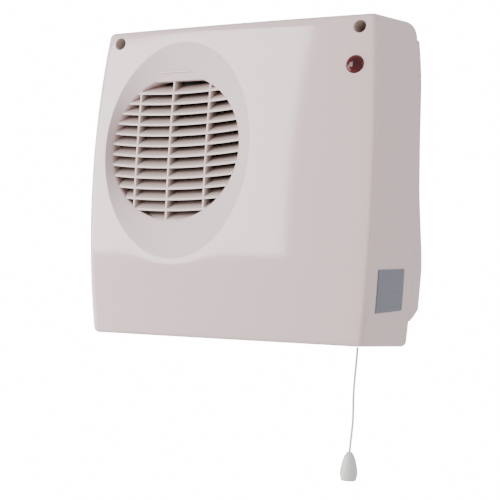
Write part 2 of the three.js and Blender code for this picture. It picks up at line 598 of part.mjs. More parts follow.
function scrollBack() {
  const near = SCROLL_BACK_DEPTH;
  const standoffs = motorScrewPlaces().map(([x, z]) => cut(
    rodIn(x, z, 4, CORE_FRONT_DEPTH + SHEET + 2 * GAP, near + SHEET, 16),
    rodIn(x, z, MOTOR_SCREW_RADIUS + GAP, 0, near, 12)));
  return join(cut(earedPlate(near, near + SHEET), rodIn(INTAKE_X, INTAKE_Z, BUSH_RADIUS + 1, 0, 60)),
    ...standoffs);
}

// A round-headed screw along the depth: its head's inner face lies at a depth and its thread runs to an end.
function screw([x, z], radius, headRadius, seat, end) {
  const head = HEAD_HEIGHT * Math.sign(seat - end);
  const slot = [Math.min(seat + head * 0.5, seat + head * 1.5),
    Math.max(seat + head * 0.5, seat + head * 1.5)];
  const shaft = rodIn(x, z, radius, Math.min(seat + head / 2, end), Math.max(seat + head / 2, end), 12);
  const top = cut(rodIn(x, z, headRadius, Math.min(seat, seat + head), Math.max(seat, seat + head), 16),
    block([x - headRadius - 1, x + headRadius + 1], slot, [z - 0.4, z + 0.4]));
  return join(shaft, top);
}

const scrollScrews = () => pillarPlaces().map((place) =>
  screw(place, SCREW_RADIUS, SCREW_HEAD_RADIUS, SCROLL_BACK_DEPTH + 2 * SHEET + 2 * GAP,
    SCROLL_BACK_DEPTH - 10));

const coverScrews = () => [-WELL_X, WELL_X].map((x) =>
  screw([x, WELL_Z], SCREW_RADIUS, SCREW_HEAD_RADIUS, WELL_FLOOR_DEPTH + GAP, RIM_DEPTH + 3));

// ---- Fan and motor, modelled about the fan's axis -------------------------------------------------------

// One forward-curved blade's outline, a thin bent strip.
function bladeShape(turn) {
  const steps = 2;
  const side = (half) => Array.from({ length: steps + 1 }, (_, k) => {
    const radius = FAN_RADIUS - BLADE_DEPTH + (BLADE_DEPTH * k) / steps;
    const angle = turn - 0.16 * (k / steps) ** 2 + half / radius;
    return [radius * Math.cos(angle), radius * Math.sin(angle)];
  });
  return shapeOf([...side(-BLADE_THICKNESS / 2), ...side(BLADE_THICKNESS / 2).reverse()]);
}

function impeller() {
  const front = FAN_BACK_DEPTH + FAN_WIDTH;
  const disc = rodIn(0, 0, FAN_RADIUS - 1, FAN_BACK_DEPTH, FAN_BACK_DEPTH + SHEET, 32);
  const hub = rodIn(0, 0, 7, FAN_BACK_DEPTH, FAN_BACK_DEPTH + HUB_LENGTH);
  const ring = pipeIn(0, 0, FAN_RADIUS + 1, FAN_RADIUS - 2, front - SHEET, front, 32);
  const blades = Array.from({ length: BLADE_COUNT }, (_, k) =>
    slab(bladeShape((k / BLADE_COUNT) * 2 * Math.PI), FAN_BACK_DEPTH + SHEET / 2, front - SHEET / 2));
  return cut(join(disc, hub, ring, ...blades), rodIn(0, 0, SHAFT_RADIUS + GAP, FAN_BACK_DEPTH - 1, front,
    16));
}

const motorShaft = () => rodIn(0, 0, SHAFT_RADIUS, CORE_BACK_DEPTH - 7, FAN_BACK_DEPTH + HUB_LENGTH - 1, 16);

const motorRotor = () => cut(rodIn(0, 0, ROTOR_RADIUS, CORE_BACK_DEPTH + 2, CORE_FRONT_DEPTH - 2, 32),
  rodIn(0, 0, SHAFT_RADIUS + GAP, 0, 60, 16));

// Stack of sheets: a bore for the rotor, a window and a leg under it for the coil.
function motorCore() {
  const outline = rectangle(-CORE_HALF_WIDTH, CORE_HALF_WIDTH, -CORE_HALF_HEIGHT - LEG_DROP,
    CORE_HALF_HEIGHT);
  const window = block([-COIL_HALF_WIDTH - GAP, COIL_HALF_WIDTH + GAP], [0, 60],
    [-CORE_HALF_HEIGHT - LEG_DROP + LEG_HEIGHT, -ROTOR_RADIUS - 4]);
  const screwHoles = [-1, 1].map((side) => rodIn(side * MOTOR_SCREW_X, 0, MOTOR_SCREW_RADIUS + GAP, 0, 60,
    12));
  return cut(slab(outline, CORE_BACK_DEPTH, CORE_FRONT_DEPTH), window,
    rodIn(0, 0, ROTOR_RADIUS + GAP, 0, 60, 32), ...screwHoles);
}

function motorCoil() {
  const legBottom = -CORE_HALF_HEIGHT - LEG_DROP;
  const legTop = legBottom + LEG_HEIGHT;
  const around = (grow) => block([-COIL_HALF_WIDTH, COIL_HALF_WIDTH],
    [CORE_BACK_DEPTH - grow, CORE_FRONT_DEPTH + grow], [legBottom - grow, legTop + grow]);
  const through = block([-60, 60], [CORE_BACK_DEPTH - GAP, CORE_FRONT_DEPTH + GAP],
    [legBottom - GAP, legTop + GAP]);
  return cut(around(COIL_THICKNESS), through);
}

// A bearing bridge: a strap across the core with a hole for its bush.
function motorBracket(near) {
  const strap = block([-CORE_HALF_WIDTH, CORE_HALF_WIDTH], [near, near + SHEET], [-7, 7]);
  const screwHoles = [-1, 1].map((side) => rodIn(side * MOTOR_SCREW_X, 0, MOTOR_SCREW_RADIUS + GAP, 0, 60,
    12));
  return cut(join(strap, rodIn(0, 0, 11, near, near + SHEET)), rodIn(0, 0, BUSH_BODY_RADIUS + GAP, 0, 60, 20),
    ...screwHoles);
}

// Two flanged bushes, one in each bridge.
function shaftBushes() {
  const front = CORE_FRONT_DEPTH + GAP + SHEET + GAP;
  const back = CORE_BACK_DEPTH - GAP - SHEET - GAP;
  const bore = () => rodIn(0, 0, SHAFT_RADIUS + GAP, 0, 60, 16);
  return [
    cut(join(rodIn(0, 0, BUSH_RADIUS, front, front + 2, 20),
      rodIn(0, 0, BUSH_BODY_RADIUS, CORE_FRONT_DEPTH - 1.5, front + 1, 20)), bore()),
    cut(join(rodIn(0, 0, BUSH_RADIUS, back - 2, back, 20),
      rodIn(0, 0, BUSH_BODY_RADIUS, back - 1, CORE_BACK_DEPTH + 1.5, 20)), bore()),
  ];
}

const motorScrews = () => [-1, 1].map((side) => screw([side * MOTOR_SCREW_X, 0], MOTOR_SCREW_RADIUS, 3.4,
  CORE_BACK_DEPTH - 2 * GAP - SHEET, SCROLL_BACK_DEPTH - 2));

// ---- Heater and outlet ----------------------------------------------------------------------------------

const ductFront = () => SCROLL_FRONT_DEPTH - SHEET;
const ductBack = () => SCROLL_BACK_DEPTH + SHEET;

// Four mica boards that line the duct, as one open frame.
function heaterFrame() {
  const [left, right] = [DUCT_LEFT + GAP, scrollRight() - GAP];
  const [near, far] = [ductBack() + GAP, ductFront() - GAP];
  const tall = [HEATER_BOTTOM, HEATER_TOP];
  return cut(block([left, right], [near, far], tall),
    block([left + BOARD_THICKNESS, right - BOARD_THICKNESS], [near + BOARD_THICKNESS, far - BOARD_THICKNESS],
      [HEATER_BOTTOM - 1, HEATER_TOP + 1]));
}

// Folded resistance ribbons, one above the other, between the front and back boards.
function heatingElement() {
  const near = ductBack() + 2 * GAP + BOARD_THICKNESS;
  const far = ductFront() - 2 * GAP - BOARD_THICKNESS;
  const left = DUCT_LEFT + 3 * GAP + BOARD_THICKNESS;
  const right = scrollRight() - 3 * GAP - BOARD_THICKNESS - RIBBON_THICKNESS;
  const runs = Array.from({ length: RIBBON_RUNS }, (_, k) =>
    THREE.MathUtils.lerp(left, right, k / (RIBBON_RUNS - 1)));
  return Array.from({ length: RIBBON_LEVELS }, (_, level) => {
    const middle = HEATER_BOTTOM + ((level + 0.5) * (HEATER_TOP - HEATER_BOTTOM)) / RIBBON_LEVELS;
    const tall = [middle - RIBBON_WIDTH / 2, middle + RIBBON_WIDTH / 2];
    const strips = runs.map((x) => block([x, x + RIBBON_THICKNESS], [near, far], tall));
    const links = runs.slice(1).map((x, k) => block([runs[k], x + RIBBON_THICKNESS],
      k % 2 ? [near, near + RIBBON_THICKNESS] : [far - RIBBON_THICKNESS, far], tall));
    return join(...strips, ...links);
  });
}

function outletGrille() {
  const [[left, right], [near, far]] = outletSpan();
  const bottom = -HALF_HEIGHT;
  const frame = block([left + GAP, right - GAP], [near + GAP, far - GAP], [bottom, bottom + WALL + 1]);
  const flange = block([left - 3, right + 3], [near - 3, far + 3],
    [bottom + WALL + GAP, bottom + WALL + GAP + SHEET]);
  const inner = block([left + 3, right - 3], [near + 3, far - 3], [bottom - 1, bottom + 20]);
  const bars = Array.from({ length: OUTLET_BAR_COUNT }, (_, k) => {
    const x = left + ((k + 1) * (right - left)) / (OUTLET_BAR_COUNT + 1);
    return block([x - OUTLET_BAR / 2, x + OUTLET_BAR / 2], [near + 2, far - 2],
      [bottom + 0.5, bottom + WALL + 1]);
  });
  return join(cut(join(frame, flange), inner), ...bars);
}

const cutoutSeat = () => scrollRight() + SHEET + GAP;
const cutoutTabEnd = () => cutoutSeat() + 12;

function thermalCutout() {
  const x = cutoutSeat();
  const tabs = [-1, 1].map((side) => block([x + 5, cutoutTabEnd()],
    [CUTOUT_DEPTH - 2, CUTOUT_DEPTH + 2], [CUTOUT_Z + side * 5 - 0.4, CUTOUT_Z + side * 5 + 0.4]));
  return join(rodAcross(CUTOUT_DEPTH, CUTOUT_Z, CUTOUT_RADIUS, x, x + 4),
    rodAcross(CUTOUT_DEPTH, CUTOUT_Z, CUTOUT_RADIUS - 1, x + 3, x + 8), ...tabs);
}

// ---- Switch, cord and knob ------------------------------------------------------------------------------

// An open-sided box round the slider and its spring.
function switchBody() {
  const [w, d] = [SWITCH_WIDTH / 2, SWITCH_DEPTH / 2];
  const body = block([CORD_X - w, CORD_X + w], [CORD_DEPTH - d, CORD_DEPTH + d], [SWITCH_BOTTOM, SWITCH_TOP]);
  const room = block([CORD_X - w - 1, CORD_X + w - 3], [CORD_DEPTH - d + 4, CORD_DEPTH + d - 4],
    [SWITCH_BOTTOM + SWITCH_FLOOR, SWITCH_TOP - SWITCH_FLOOR]);
  const bore = rodUp(CORD_X, CORD_DEPTH, CORD_RADIUS + CORD_CLEARANCE, SWITCH_BOTTOM - 1, SWITCH_TOP - 10,
    12);
  return cut(body, room, bore);
}

const sliderTop = () => SWITCH_TOP - SWITCH_FLOOR - GAP;

const switchSlider = () => rodUp(CORD_X, CORD_DEPTH, SPRING_RADIUS + 1.5, sliderTop() - SLIDER_HEIGHT,
  sliderTop());

// A helix that pushes the slider up against the top of the switch.
function switchSpring() {
  const bottom = SWITCH_BOTTOM + SWITCH_FLOOR + GAP + SPRING_WIRE;
  const top = sliderTop() - SLIDER_HEIGHT - GAP - SPRING_WIRE;
  const steps = SPRING_TURNS * 8;
  const points = Array.from({ length: steps + 1 }, (_, k) => {
    const turn = (k / steps) * SPRING_TURNS * 2 * Math.PI;
    return [CORD_X + SPRING_RADIUS * Math.cos(turn), CORD_DEPTH + SPRING_RADIUS * Math.sin(turn),
      bottom + ((top - bottom) * k) / steps];
  });
  return tube(points, SPRING_WIRE, steps, 5);
}

// A strap bent twice, from the housing's tray to the back of the switch.
function switchBracket() {
  const [foot, head] = [WALL + GAP, CORD_DEPTH - SWITCH_DEPTH / 2 - GAP];
  const bend = SWITCH_TOP + GAP;
  const outline = shapeOf([[foot, bend + BRACKET_FOOT], [foot, bend], [head - SHEET, bend],
    [head - SHEET, SWITCH_BOTTOM + 4], [head, SWITCH_BOTTOM + 4], [head, bend + SHEET],
      [foot + SHEET, bend + SHEET],
    [foot + SHEET, bend + BRACKET_FOOT]]);
  const strap = beam(outline, CORD_X - BRACKET_HALF_WIDTH, CORD_X + BRACKET_HALF_WIDTH - 2);
  return cut(strap, rodIn(...bracketScrewPlace(), SCREW_RADIUS + GAP, 0, 10, 12));
}

const bracketScrew = () => screw(bracketScrewPlace(), SCREW_RADIUS, 3.4, WALL + 2 * GAP + SHEET,
  BRACKET_SCREW_END);

const bracketScrewPlace = () => [CORD_X - 1, SWITCH_TOP + BRACKET_FOOT / 2 + SHEET / 2];

const tabTop = () => SWITCH_TOP + TAB_HEIGHT;

const switchTabs = () => [-1, 1].map((side) => block([CORD_X + side * 5 - 0.4, CORD_X + side * 5 + 0.4],
  [CORD_DEPTH - 3, CORD_DEPTH + 3], [SWITCH_TOP + GAP, tabTop()]));

function cordGuide() {
  const body = rodUp(CORD_X, CORD_DEPTH, GUIDE_RADIUS - GAP, GUIDE_BOTTOM, -HALF_HEIGHT + WALL + 1, 20);
  const flange = rodUp(CORD_X, CORD_DEPTH, GUIDE_RADIUS + 2, -HALF_HEIGHT + WALL + GAP,
    -HALF_HEIGHT + WALL + GAP + SHEET, 20);
  return cut(join(body, flange), rodUp(CORD_X, CORD_DEPTH, CORD_RADIUS + CORD_CLEARANCE,
    GUIDE_BOTTOM - 1, -HALF_HEIGHT + 2 * BRACKET_FOOT, 12));
}

const cordUpper = () => rodUp(CORD_X, CORD_DEPTH, CORD_RADIUS, GUIDE_BOTTOM - GAP,
  sliderTop() - SLIDER_HEIGHT - GAP, 8);

const cordExit = () => GUIDE_BOTTOM - 2 * GAP - CORD_SEAM;

const hangLine = () => CORD_HANG.map(([x, forward, up]) => [CORD_X + x, CORD_DEPTH + forward,
  cordExit() + up]);

const pullCord = () => tube(hangLine(), CORD_RADIUS, CORD_STEPS);

// Bell-shaped knob with a hollow under it for the cord's knot.
function cordKnob() {
  const [x, depth, end] = hangLine().pop();
  const top = end - GAP;
  const profile = [[0, 0], [KNOB_TOP_RADIUS, 0], [KNOB_TOP_RADIUS + 0.9, 0.06], [4.6, 0.22], [5.7, 0.42],
    [KNOB_RADIUS - 0.2, 0.6], [KNOB_RADIUS, 0.72], [KNOB_RADIUS - 0.2, 0.84], [KNOB_BASE_RADIUS, 1], [3.6, 1],
    [3.2, 0.8], [0, 0.78]];
  const lathe = new THREE.LatheGeometry(profile.map(([r, drop]) => new THREE.Vector2(r,
    drop * -KNOB_HEIGHT)), 18);
  return solid(lathe.rotateX(Math.PI / 2).translate(x, -depth, top));
}

// ---- Neon and sticker -----------------------------------------------------------------------------------

// Where the lens sits: square to the front at its place.
function neonPose() {
  const here = frontFace(NEON_X, NEON_Z);
  const slopeX = frontFace(NEON_X + 1, NEON_Z) - here;
  const slopeZ = frontFace(NEON_X, NEON_Z + 1) - here;
  const out = new THREE.Vector3(-slopeX, -1, -slopeZ).normalize();
  const turn = new THREE.Quaternion().setFromUnitVectors(new THREE.Vector3(0, -1, 0), out);
  return new THREE.Matrix4().compose(new THREE.Vector3(NEON_X, -here, NEON_Z), turn,
    new THREE.Vector3(1, 1, 1));
}

const neonHole = () => solid(new THREE.CylinderGeometry(NEON_RADIUS, NEON_RADIUS, 20,
  24).applyMatrix4(neonPose()));

// Lens about its own axis: a dome, a neck through the front, a flange behind it and a bore for the lamp.
function neonLens() {
  const neck = NEON_RADIUS - GAP;
  const back = WALL + GAP;
  const steps = 4;
  const dome = Array.from({ length: steps + 1 }, (_, k) => {
    const turn = (k / steps) * Math.PI / 2;
    return [neck * Math.sin(turn), NEON_DOME * Math.cos(turn)];
  });
  const profile = [...dome, [neck, -back], [neck + 1.6, -back], [neck + 1.6, -back - SHEET],
    [neck, -back - SHEET],
    [neck, -back - 6], [LAMP_RADIUS + GAP, -back - 6], [LAMP_RADIUS + GAP, 0], [0, 0.6]];
  const lathe = new THREE.LatheGeometry(profile.map(([r, out]) => new THREE.Vector2(r, out)), 20);
  return solid(lathe.rotateX(Math.PI).applyMatrix4(neonPose()));
}

function neonLamp() {
  const profile = [[0, -0.4], [1.4, -0.8], [LAMP_RADIUS, -2.6], [LAMP_RADIUS, -12], [0, -12]];
  const lathe = new THREE.LatheGeometry(profile.map(([r, out]) => new THREE.Vector2(r, out)), 16);
  return solid(lathe.rotateX(Math.PI).applyMatrix4(neonPose()));
}

// Half the casing's width at a real depth and height on its side wall.
function sideAt(depth, z) {
  const front = frontFace(FRONT_HALF_WIDTH, z);
  const level = RIM_DEPTH + ((depth - RIM_DEPTH) / (front - RIM_DEPTH)) * (FRONT_DEPTH - RIM_DEPTH);
  return halfWidthAt(level, z);
}

// Sticker bent to the casing's side.
function ratingLabel() {
  const box = new THREE.BoxGeometry(LABEL_THICKNESS, LABEL_WIDTH, LABEL_HEIGHT, 1, 4, 4);
  box.rotateX(THREE.MathUtils.degToRad(LABEL_TILT));
  const places = box.getAttribute('position');
  for (let i = 0; i < places.count; i++) {
    const depth = LABEL_DEPTH - places.getY(i);
    const z = LABEL_Z + places.getZ(i);
    places.setXYZ(i, sideAt(depth, z) + GAP + LABEL_THICKNESS / 2 + places.getX(i), -depth, z);
  }
  return solid(box);
}

// ---- Terminals, cable and wires -------------------------------------------------------------------------

const terminalPlaces = () => Array.from({ length: TERMINAL_COUNT }, (_, k) =>
  TERMINAL_Z + (k - (TERMINAL_COUNT - 1) / 2) * TERMINAL_PITCH);

const terminalFront = () => WALL + GAP + TERMINAL_HEIGHT;

function terminalBlock() {
  const high = (TERMINAL_COUNT * TERMINAL_PITCH) / 2;
  let body = block([TERMINAL_X - TERMINAL_WIDTH / 2, TERMINAL_X + TERMINAL_WIDTH / 2],
    [WALL + GAP, terminalFront()], [TERMINAL_Z - high, TERMINAL_Z + high]);
  for (const z of terminalPlaces()) {
    body = cut(body, rodAcross(WIRE_DEPTH, z, WIRE_RADIUS + 1, TERMINAL_X - 30, TERMINAL_X + 30, 12),
      ...[-1, 1].map((side) => rodIn(TERMINAL_X + side * 5, z, 2.6, terminalFront() - 4, terminalFront() + 1,
        12)));
  }
  return body;
}

const terminalScrews = () => terminalPlaces().flatMap((z) => [-1, 1].map((side) => {
  const x = TERMINAL_X + side * 5;
  return cut(rodIn(x, z, 2.3, terminalFront() - 4 + GAP, terminalFront() - 1, 12),
    block([x - 3, x + 3], [terminalFront() - 2, terminalFront()], [z - 0.4, z + 0.4]));
}));

const clampPlaces = () => [-1, 1].map((side) => [ENTRY_X + side * CLAMP_HALF_WIDTH, ENTRY_Z - CLAMP_DROP]);

const cableClamp = () => cut(
  join(block([ENTRY_X - CLAMP_HALF_WIDTH, ENTRY_X + CLAMP_HALF_WIDTH],
    [CLAMP_SEAT + GAP, CLAMP_SEAT + GAP + 3],
    [ENTRY_Z - CLAMP_DROP - 4, ENTRY_Z - CLAMP_DROP + 4]),
  ...clampPlaces().map(([x, z]) => rodIn(x, z, 4, CLAMP_SEAT + GAP, CLAMP_SEAT + GAP + 3, 16))),
  ...clampPlaces().map(([x, z]) => rodIn(x, z, 1.5 + GAP, 0, 30, 12)));

const clampScrews = () =>
  clampPlaces().map((place) => screw(place, 1.5, 2.8, CLAMP_SEAT + 2 * GAP + 3, CLAMP_SEAT - 3));

// Insulated wires along points chosen by hand: x, depth and z, counted from the pieces they run between.
const wireRoutes = () => ({
  wire_live: [[TERMINAL_X + WIRE_REACH, WIRE_DEPTH, terminalPlaces()[2]],
    [CORD_X - 7.5, WIRE_DEPTH, TERMINAL_Z + 10],
    [CORD_X - 0.5, 16, TERMINAL_Z + 8], [CORD_X + 1.5, 32, SWITCH_TOP + 46],
      [CORD_X - 0.5, 52, SWITCH_TOP + 32],
    [CORD_X - 3.5, 68, SWITCH_TOP + 20], [CORD_X - 5, CORD_DEPTH, tabTop() + 3 * GAP]],
  wire_switched: [[CORD_X + 5, CORD_DEPTH, tabTop() + 3 * GAP], [CORD_X + 4.5, 74, SWITCH_TOP + 18],
    [CORD_X - 1.5, 72, SWITCH_TOP + 28], [CORD_X - 19.5, 70, SWITCH_TOP + 34],
      [CORD_X - 41.5, 69, SWITCH_TOP + 30],
    [cutoutTabEnd() + 10.6, CUTOUT_DEPTH, CUTOUT_Z + 10], [cutoutTabEnd() + GAP, CUTOUT_DEPTH, CUTOUT_Z + 5]],
  wire_heater: [[cutoutTabEnd() + GAP, CUTOUT_DEPTH, CUTOUT_Z - 5],
    [scrollRight() + 21, CUTOUT_DEPTH, CUTOUT_Z - 10], [scrollRight() + 23, CUTOUT_DEPTH, CUTOUT_Z - 20],
    [scrollRight() + 15, CUTOUT_DEPTH, CUTOUT_Z - 28],
      [scrollRight() + SHEET + GAP, CUTOUT_DEPTH, CUTOUT_Z - 30]],
  wire_neutral: [[TERMINAL_X - WIRE_REACH, WIRE_DEPTH, terminalPlaces()[0]],
    [TERMINAL_X - 14, WIRE_DEPTH, TERMINAL_Z - 10], [TERMINAL_X - 26, 16, TERMINAL_Z - 14],
    [scrollRight() + 25, 34, HEATER_TOP + 18], [scrollRight() + 21, 52, HEATER_TOP - 4],
    [scrollRight() + 15, 60, HEATER_TOP - 22], [scrollRight() + 7, 62, HEATER_TOP - 29],
    [scrollRight() + SHEET + GAP, 62, HEATER_TOP - 29]],
  wire_motor: [[TERMINAL_X - WIRE_REACH, WIRE_DEPTH, terminalPlaces()[1]],
    [TERMINAL_X - 16, WIRE_DEPTH, TERMINAL_Z],
    [TERMINAL_X - 38, 10, INTAKE_Z - 43.8], [INTAKE_X + 59, 14, INTAKE_Z - 44.3],
    [INTAKE_X + 31, 20, INTAKE_Z - 44.3], [INTAKE_X + COIL_HALF_WIDTH + GAP, 24, INTAKE_Z - 43.3]],
});

const wires = () => Object.entries(wireRoutes()).map(([name, route]) =>
  piece(name, tube(route, WIRE_RADIUS, 3 * (route.length - 1), 6), name === 'wire_neutral' ? blue : brown));

const cableGrommet = () => cut(join(rodIn(ENTRY_X, ENTRY_Z, ENTRY_RADIUS - GAP, GAP, WALL + 1),
  rodIn(ENTRY_X, ENTRY_Z, ENTRY_RADIUS + 2, WALL + GAP, WALL + GAP + SHEET)),
  rodIn(ENTRY_X, ENTRY_Z, CABLE_RADIUS, -1, 10));

// ---- The heater -----------------------------------------------------------------------------------------

const fan = new THREE.Group();
fan.position.set(INTAKE_X, 0, INTAKE_Z);
fan.add(
  piece('impeller', impeller(), black),
  piece('motor_shaft', motorShaft(), steel),
  piece('motor_rotor', motorRotor(), steel),
  piece('motor_core', motorCore(), laminated),
  piece('motor_coil', motorCoil(), copper),
  piece('motor_bracket_front', motorBracket(CORE_FRONT_DEPTH + GAP), steel),
  piece('motor_bracket_rear', motorBracket(CORE_BACK_DEPTH - GAP - SHEET), steel),
  ...pieces('shaft_bush', shaftBushes(), brass),
  ...pieces('motor_screw', motorScrews(), steel),
);

const switchGroup = new THREE.Group();
switchGroup.add(
  piece('switch_body', switchBody(), white),
  piece('switch_slider', switchSlider(), white),
  piece('switch_spring', switchSpring(), steel),
  piece('switch_bracket', switchBracket(), steel),
  piece('bracket_screw', bracketScrew(), steel),
  ...pieces('switch_tab', switchTabs(), brass),
  piece('cord_guide', cordGuide(), white),
  piece('cord_upper', cordUpper(), cordWhite),
  piece('pull_cord', pullCord(), cordWhite),
  piece('cord_knob', cordKnob(), white),
);

const heater = new THREE.Group();
heater.add(
  piece('front_cover', frontCover(), ivory),
  piece('rear_housing', rearHousing(), ivory),
  ...pieces('cover_screw', coverScrews(), steel),
  piece('neon_lens', neonLens(), ruby),
  piece('neon_lamp', neonLamp(), glass),
  piece('rating_label', ratingLabel(), silver),
  piece('scroll_housing', scrollHousing(), black),
  piece('scroll_back', scrollBack(), steel),
  ...pieces('scroll_screw', scrollScrews(), steel),
  piece('heater_frame', heaterFrame(), mica),
  ...pieces('heating_ribbon', heatingElement(), nichrome),
  piece('thermal_cutout', thermalCutout(), black),
  piece('outlet_grille', outletGrille(), ivory),
  piece('terminal_block', terminalBlock(), white),
  ...pieces('terminal_screw', terminalScrews(), brass),
  piece('cable_clamp', cableClamp(), white),
  ...pieces('clamp_screw', clampScrews(), steel),
  piece('cable_grommet', cableGrommet(), rubber),
  ...wires(),
  fan,
  switchGroup,
);

export default heater;
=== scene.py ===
# Bathroom wall fan heater with a pull cord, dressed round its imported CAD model.
# X points right as seen from the front, Y points at the wall and Z points up. The origin is on the wall.
import math

import bmesh
import bpy
from mathutils import Matrix, Vector


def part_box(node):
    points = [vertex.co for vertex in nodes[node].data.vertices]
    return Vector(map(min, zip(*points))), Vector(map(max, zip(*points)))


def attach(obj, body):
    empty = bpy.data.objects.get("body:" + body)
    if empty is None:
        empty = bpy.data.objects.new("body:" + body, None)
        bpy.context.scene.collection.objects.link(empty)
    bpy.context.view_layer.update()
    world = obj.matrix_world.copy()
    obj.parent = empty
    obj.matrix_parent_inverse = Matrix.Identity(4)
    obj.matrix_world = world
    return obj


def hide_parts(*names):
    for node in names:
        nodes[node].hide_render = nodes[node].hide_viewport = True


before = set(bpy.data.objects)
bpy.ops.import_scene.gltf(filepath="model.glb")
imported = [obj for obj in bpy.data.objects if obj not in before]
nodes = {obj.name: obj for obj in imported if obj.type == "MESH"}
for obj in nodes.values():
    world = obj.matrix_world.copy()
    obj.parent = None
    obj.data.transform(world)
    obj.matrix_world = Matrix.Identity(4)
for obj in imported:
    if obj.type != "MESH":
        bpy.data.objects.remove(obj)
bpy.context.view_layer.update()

# ---- Camera, floor and lights ----------------------------------------------------------------------------
# The camera stands to the right of the heater and a little below its middle, and looks slightly up.
camera_data = bpy.data.cameras.new("camera")
camera_data.lens = 82.23
camera_data.sensor_width = 36
camera = bpy.data.objects.new("camera", camera_data)
ahead = Vector((-0.44239, 0.89498, 0.05754)).normalized()
level_right = ahead.cross(Vector((0, 0, 1))).normalized()
level_up = level_right.cross(ahead)
CAMERA_ROLL = math.radians(2.668)
camera_right = level_right * math.cos(CAMERA_ROLL) + level_up * math.sin(CAMERA_ROLL)
camera_up = level_up * math.cos(CAMERA_ROLL) - level_right * math.sin(CAMERA_ROLL)
camera.matrix_world = Matrix.Translation((0.41012, -0.89647, -0.10606)) @ Matrix(
    (camera_right, camera_up, -ahead)).transposed().to_4x4()
bpy.context.scene.collection.objects.link(camera)
bpy.context.scene.camera = camera

# A pale floor well below the heater, as under one that hangs on a wall, and a pale room that lights
# everything evenly.
FLOOR_Z = -1.2
FLOOR_HALF_SIZE = 3
floor_bm = bmesh.new()
bmesh.ops.create_grid(floor_bm, x_segments=2, y_segments=2, size=FLOOR_HALF_SIZE)
bmesh.ops.translate(floor_bm, vec=(0, 0, FLOOR_Z), verts=floor_bm.verts)
floor_mesh = bpy.data.meshes.new("floor")
floor_bm.to_mesh(floor_mesh)
floor_bm.free()
floor = bpy.data.objects.new("floor", floor_mesh)
bpy.context.scene.collection.objects.link(floor)
floor_paint = bpy.data.materials.new("floor_paint")
floor_paint.use_nodes = True
floor_paint.node_tree.nodes["Principled BSDF"].inputs["Base Color"].default_value = (0.93, 0.93, 0.93, 1)
floor_paint.node_tree.nodes["Principled BSDF"].inputs["Roughness"].default_value = 0.9
floor_mesh.materials.append(floor_paint)

room = bpy.data.worlds.new("room")
bpy.context.scene.world = room
room.use_nodes = True
room_nodes = room.node_tree.nodes
room_nodes.clear()
room_glow = room_nodes.new("ShaderNodeBackground")
room_glow.inputs["Color"].default_value = (1.0, 0.985, 0.98, 1)
room_glow.inputs["Strength"].default_value = 0.88
room_seen = room_nodes.new("ShaderNodeBackground")
room_seen.inputs["Color"].default_value = (1, 1, 1, 1)
room_seen.inputs["Strength"].default_value = 16
room_ray = room_nodes.new("ShaderNodeLightPath")
room_mix = room_nodes.new("ShaderNodeMixShader")
room_out = room_nodes.new("ShaderNodeOutputWorld")
room.node_tree.links.new(room_ray.outputs["Is Camera Ray"], room_mix.inputs["Fac"])
room.node_tree.links.new(room_glow.outputs["Background"], room_mix.inputs[1])
room.node_tree.links.new(room_seen.outputs["Background"], room_mix.inputs[2])
room.node_tree.links.new(room_mix.outputs["Shader"], room_out.inputs["Surface"])


def softbox(name, place, aim, width, height, energy):
    """A rectangular soft light at a place, aimed at another."""
    data = bpy.data.lights.new(name, "AREA")
    data.shape = "RECTANGLE"
    data.size = width
    data.size_y = height
    data.energy = energy
    light = bpy.data.objects.new(name, data)
    light.location = place
    light.rotation_euler = (Vector(aim) - Vector(place)).to_track_quat("-Z", "Y").to_euler()
    bpy.context.scene.collection.objects.link(light)


# One softbox at the left, whose reflection covers the left of the front.
softbox("softbox_left", (-1.06, -1.5, 0.39), (-1.06, 0, 0.39), 1.1, 0.98, 34)
# A nearer one further round to the left makes the light fall off towards the right.
softbox("softbox_near", (-0.75, -0.45, -0.15), (0, -0.05, -0.05), 0.5, 0.8, 6.5)
# A weaker one at the right fills the side and gives the vertical edge its soft line of light.
softbox("softbox_right", (1.75, 0.35, 0.3), (0, 0, 0), 0.7, 1.2, 5)

# ---- Pull cord -------------------------------------------------------------------------------------------
# A thin braided polyester cord, 1.8 mm thick. It hangs free from the bush under the right front corner
# down to the knob, with the slight waves of a cord that was folded in its packing.
CORD_DIAMETER = 0.0018
CORD_EXIT = (99.5, -75.5, -126.2)
CORD_ROUTE = [(99.5, 75.5, -126.2), (99.4, 75.5, -131), (99.2, 75.5, -136), (98.9, 75.5, -141),
              (98.6, 75.6, -146), (98.3, 75.6, -151), (98.1, 75.6, -156), (98, 75.7, -161), (98, 75.7, -166),
              (98.1, 75.6, -171), (98.2, 75.6, -176), (98.2, 75.5, -181), (98, 75.5, -186),
              (97.6, 75.4, -191), (97.2, 75.4, -196), (96.9, 75.4, -200), (96.6, 75.4, -204),
              (96.5, 75.4, -205.5)]
CORD_SIDES = 16
BRAID_PITCH = 0.0026  # length of cord in one repeat of the braid
BRAID_STRANDS = 6  # strands side by side round the cord


def add_piece(name, bm, material, body, sharp_angle=40, scale=0.001):
    """Turns a bmesh made in millimetres into a finished piece that rides on a body."""
    bmesh.ops.scale(bm, vec=(scale, scale, scale), verts=bm.verts)
    mesh = bpy.data.meshes.new(name)
    bm.to_mesh(mesh)
    bm.free()
    mesh.materials.append(material)
    mesh.shade_smooth()
    mesh.set_sharp_from_angle(angle=math.radians(sharp_angle))
    piece = bpy.data.objects.new(name, mesh)
    bpy.context.scene.collection.objects.link(piece)
    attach(piece, body)
    return piece


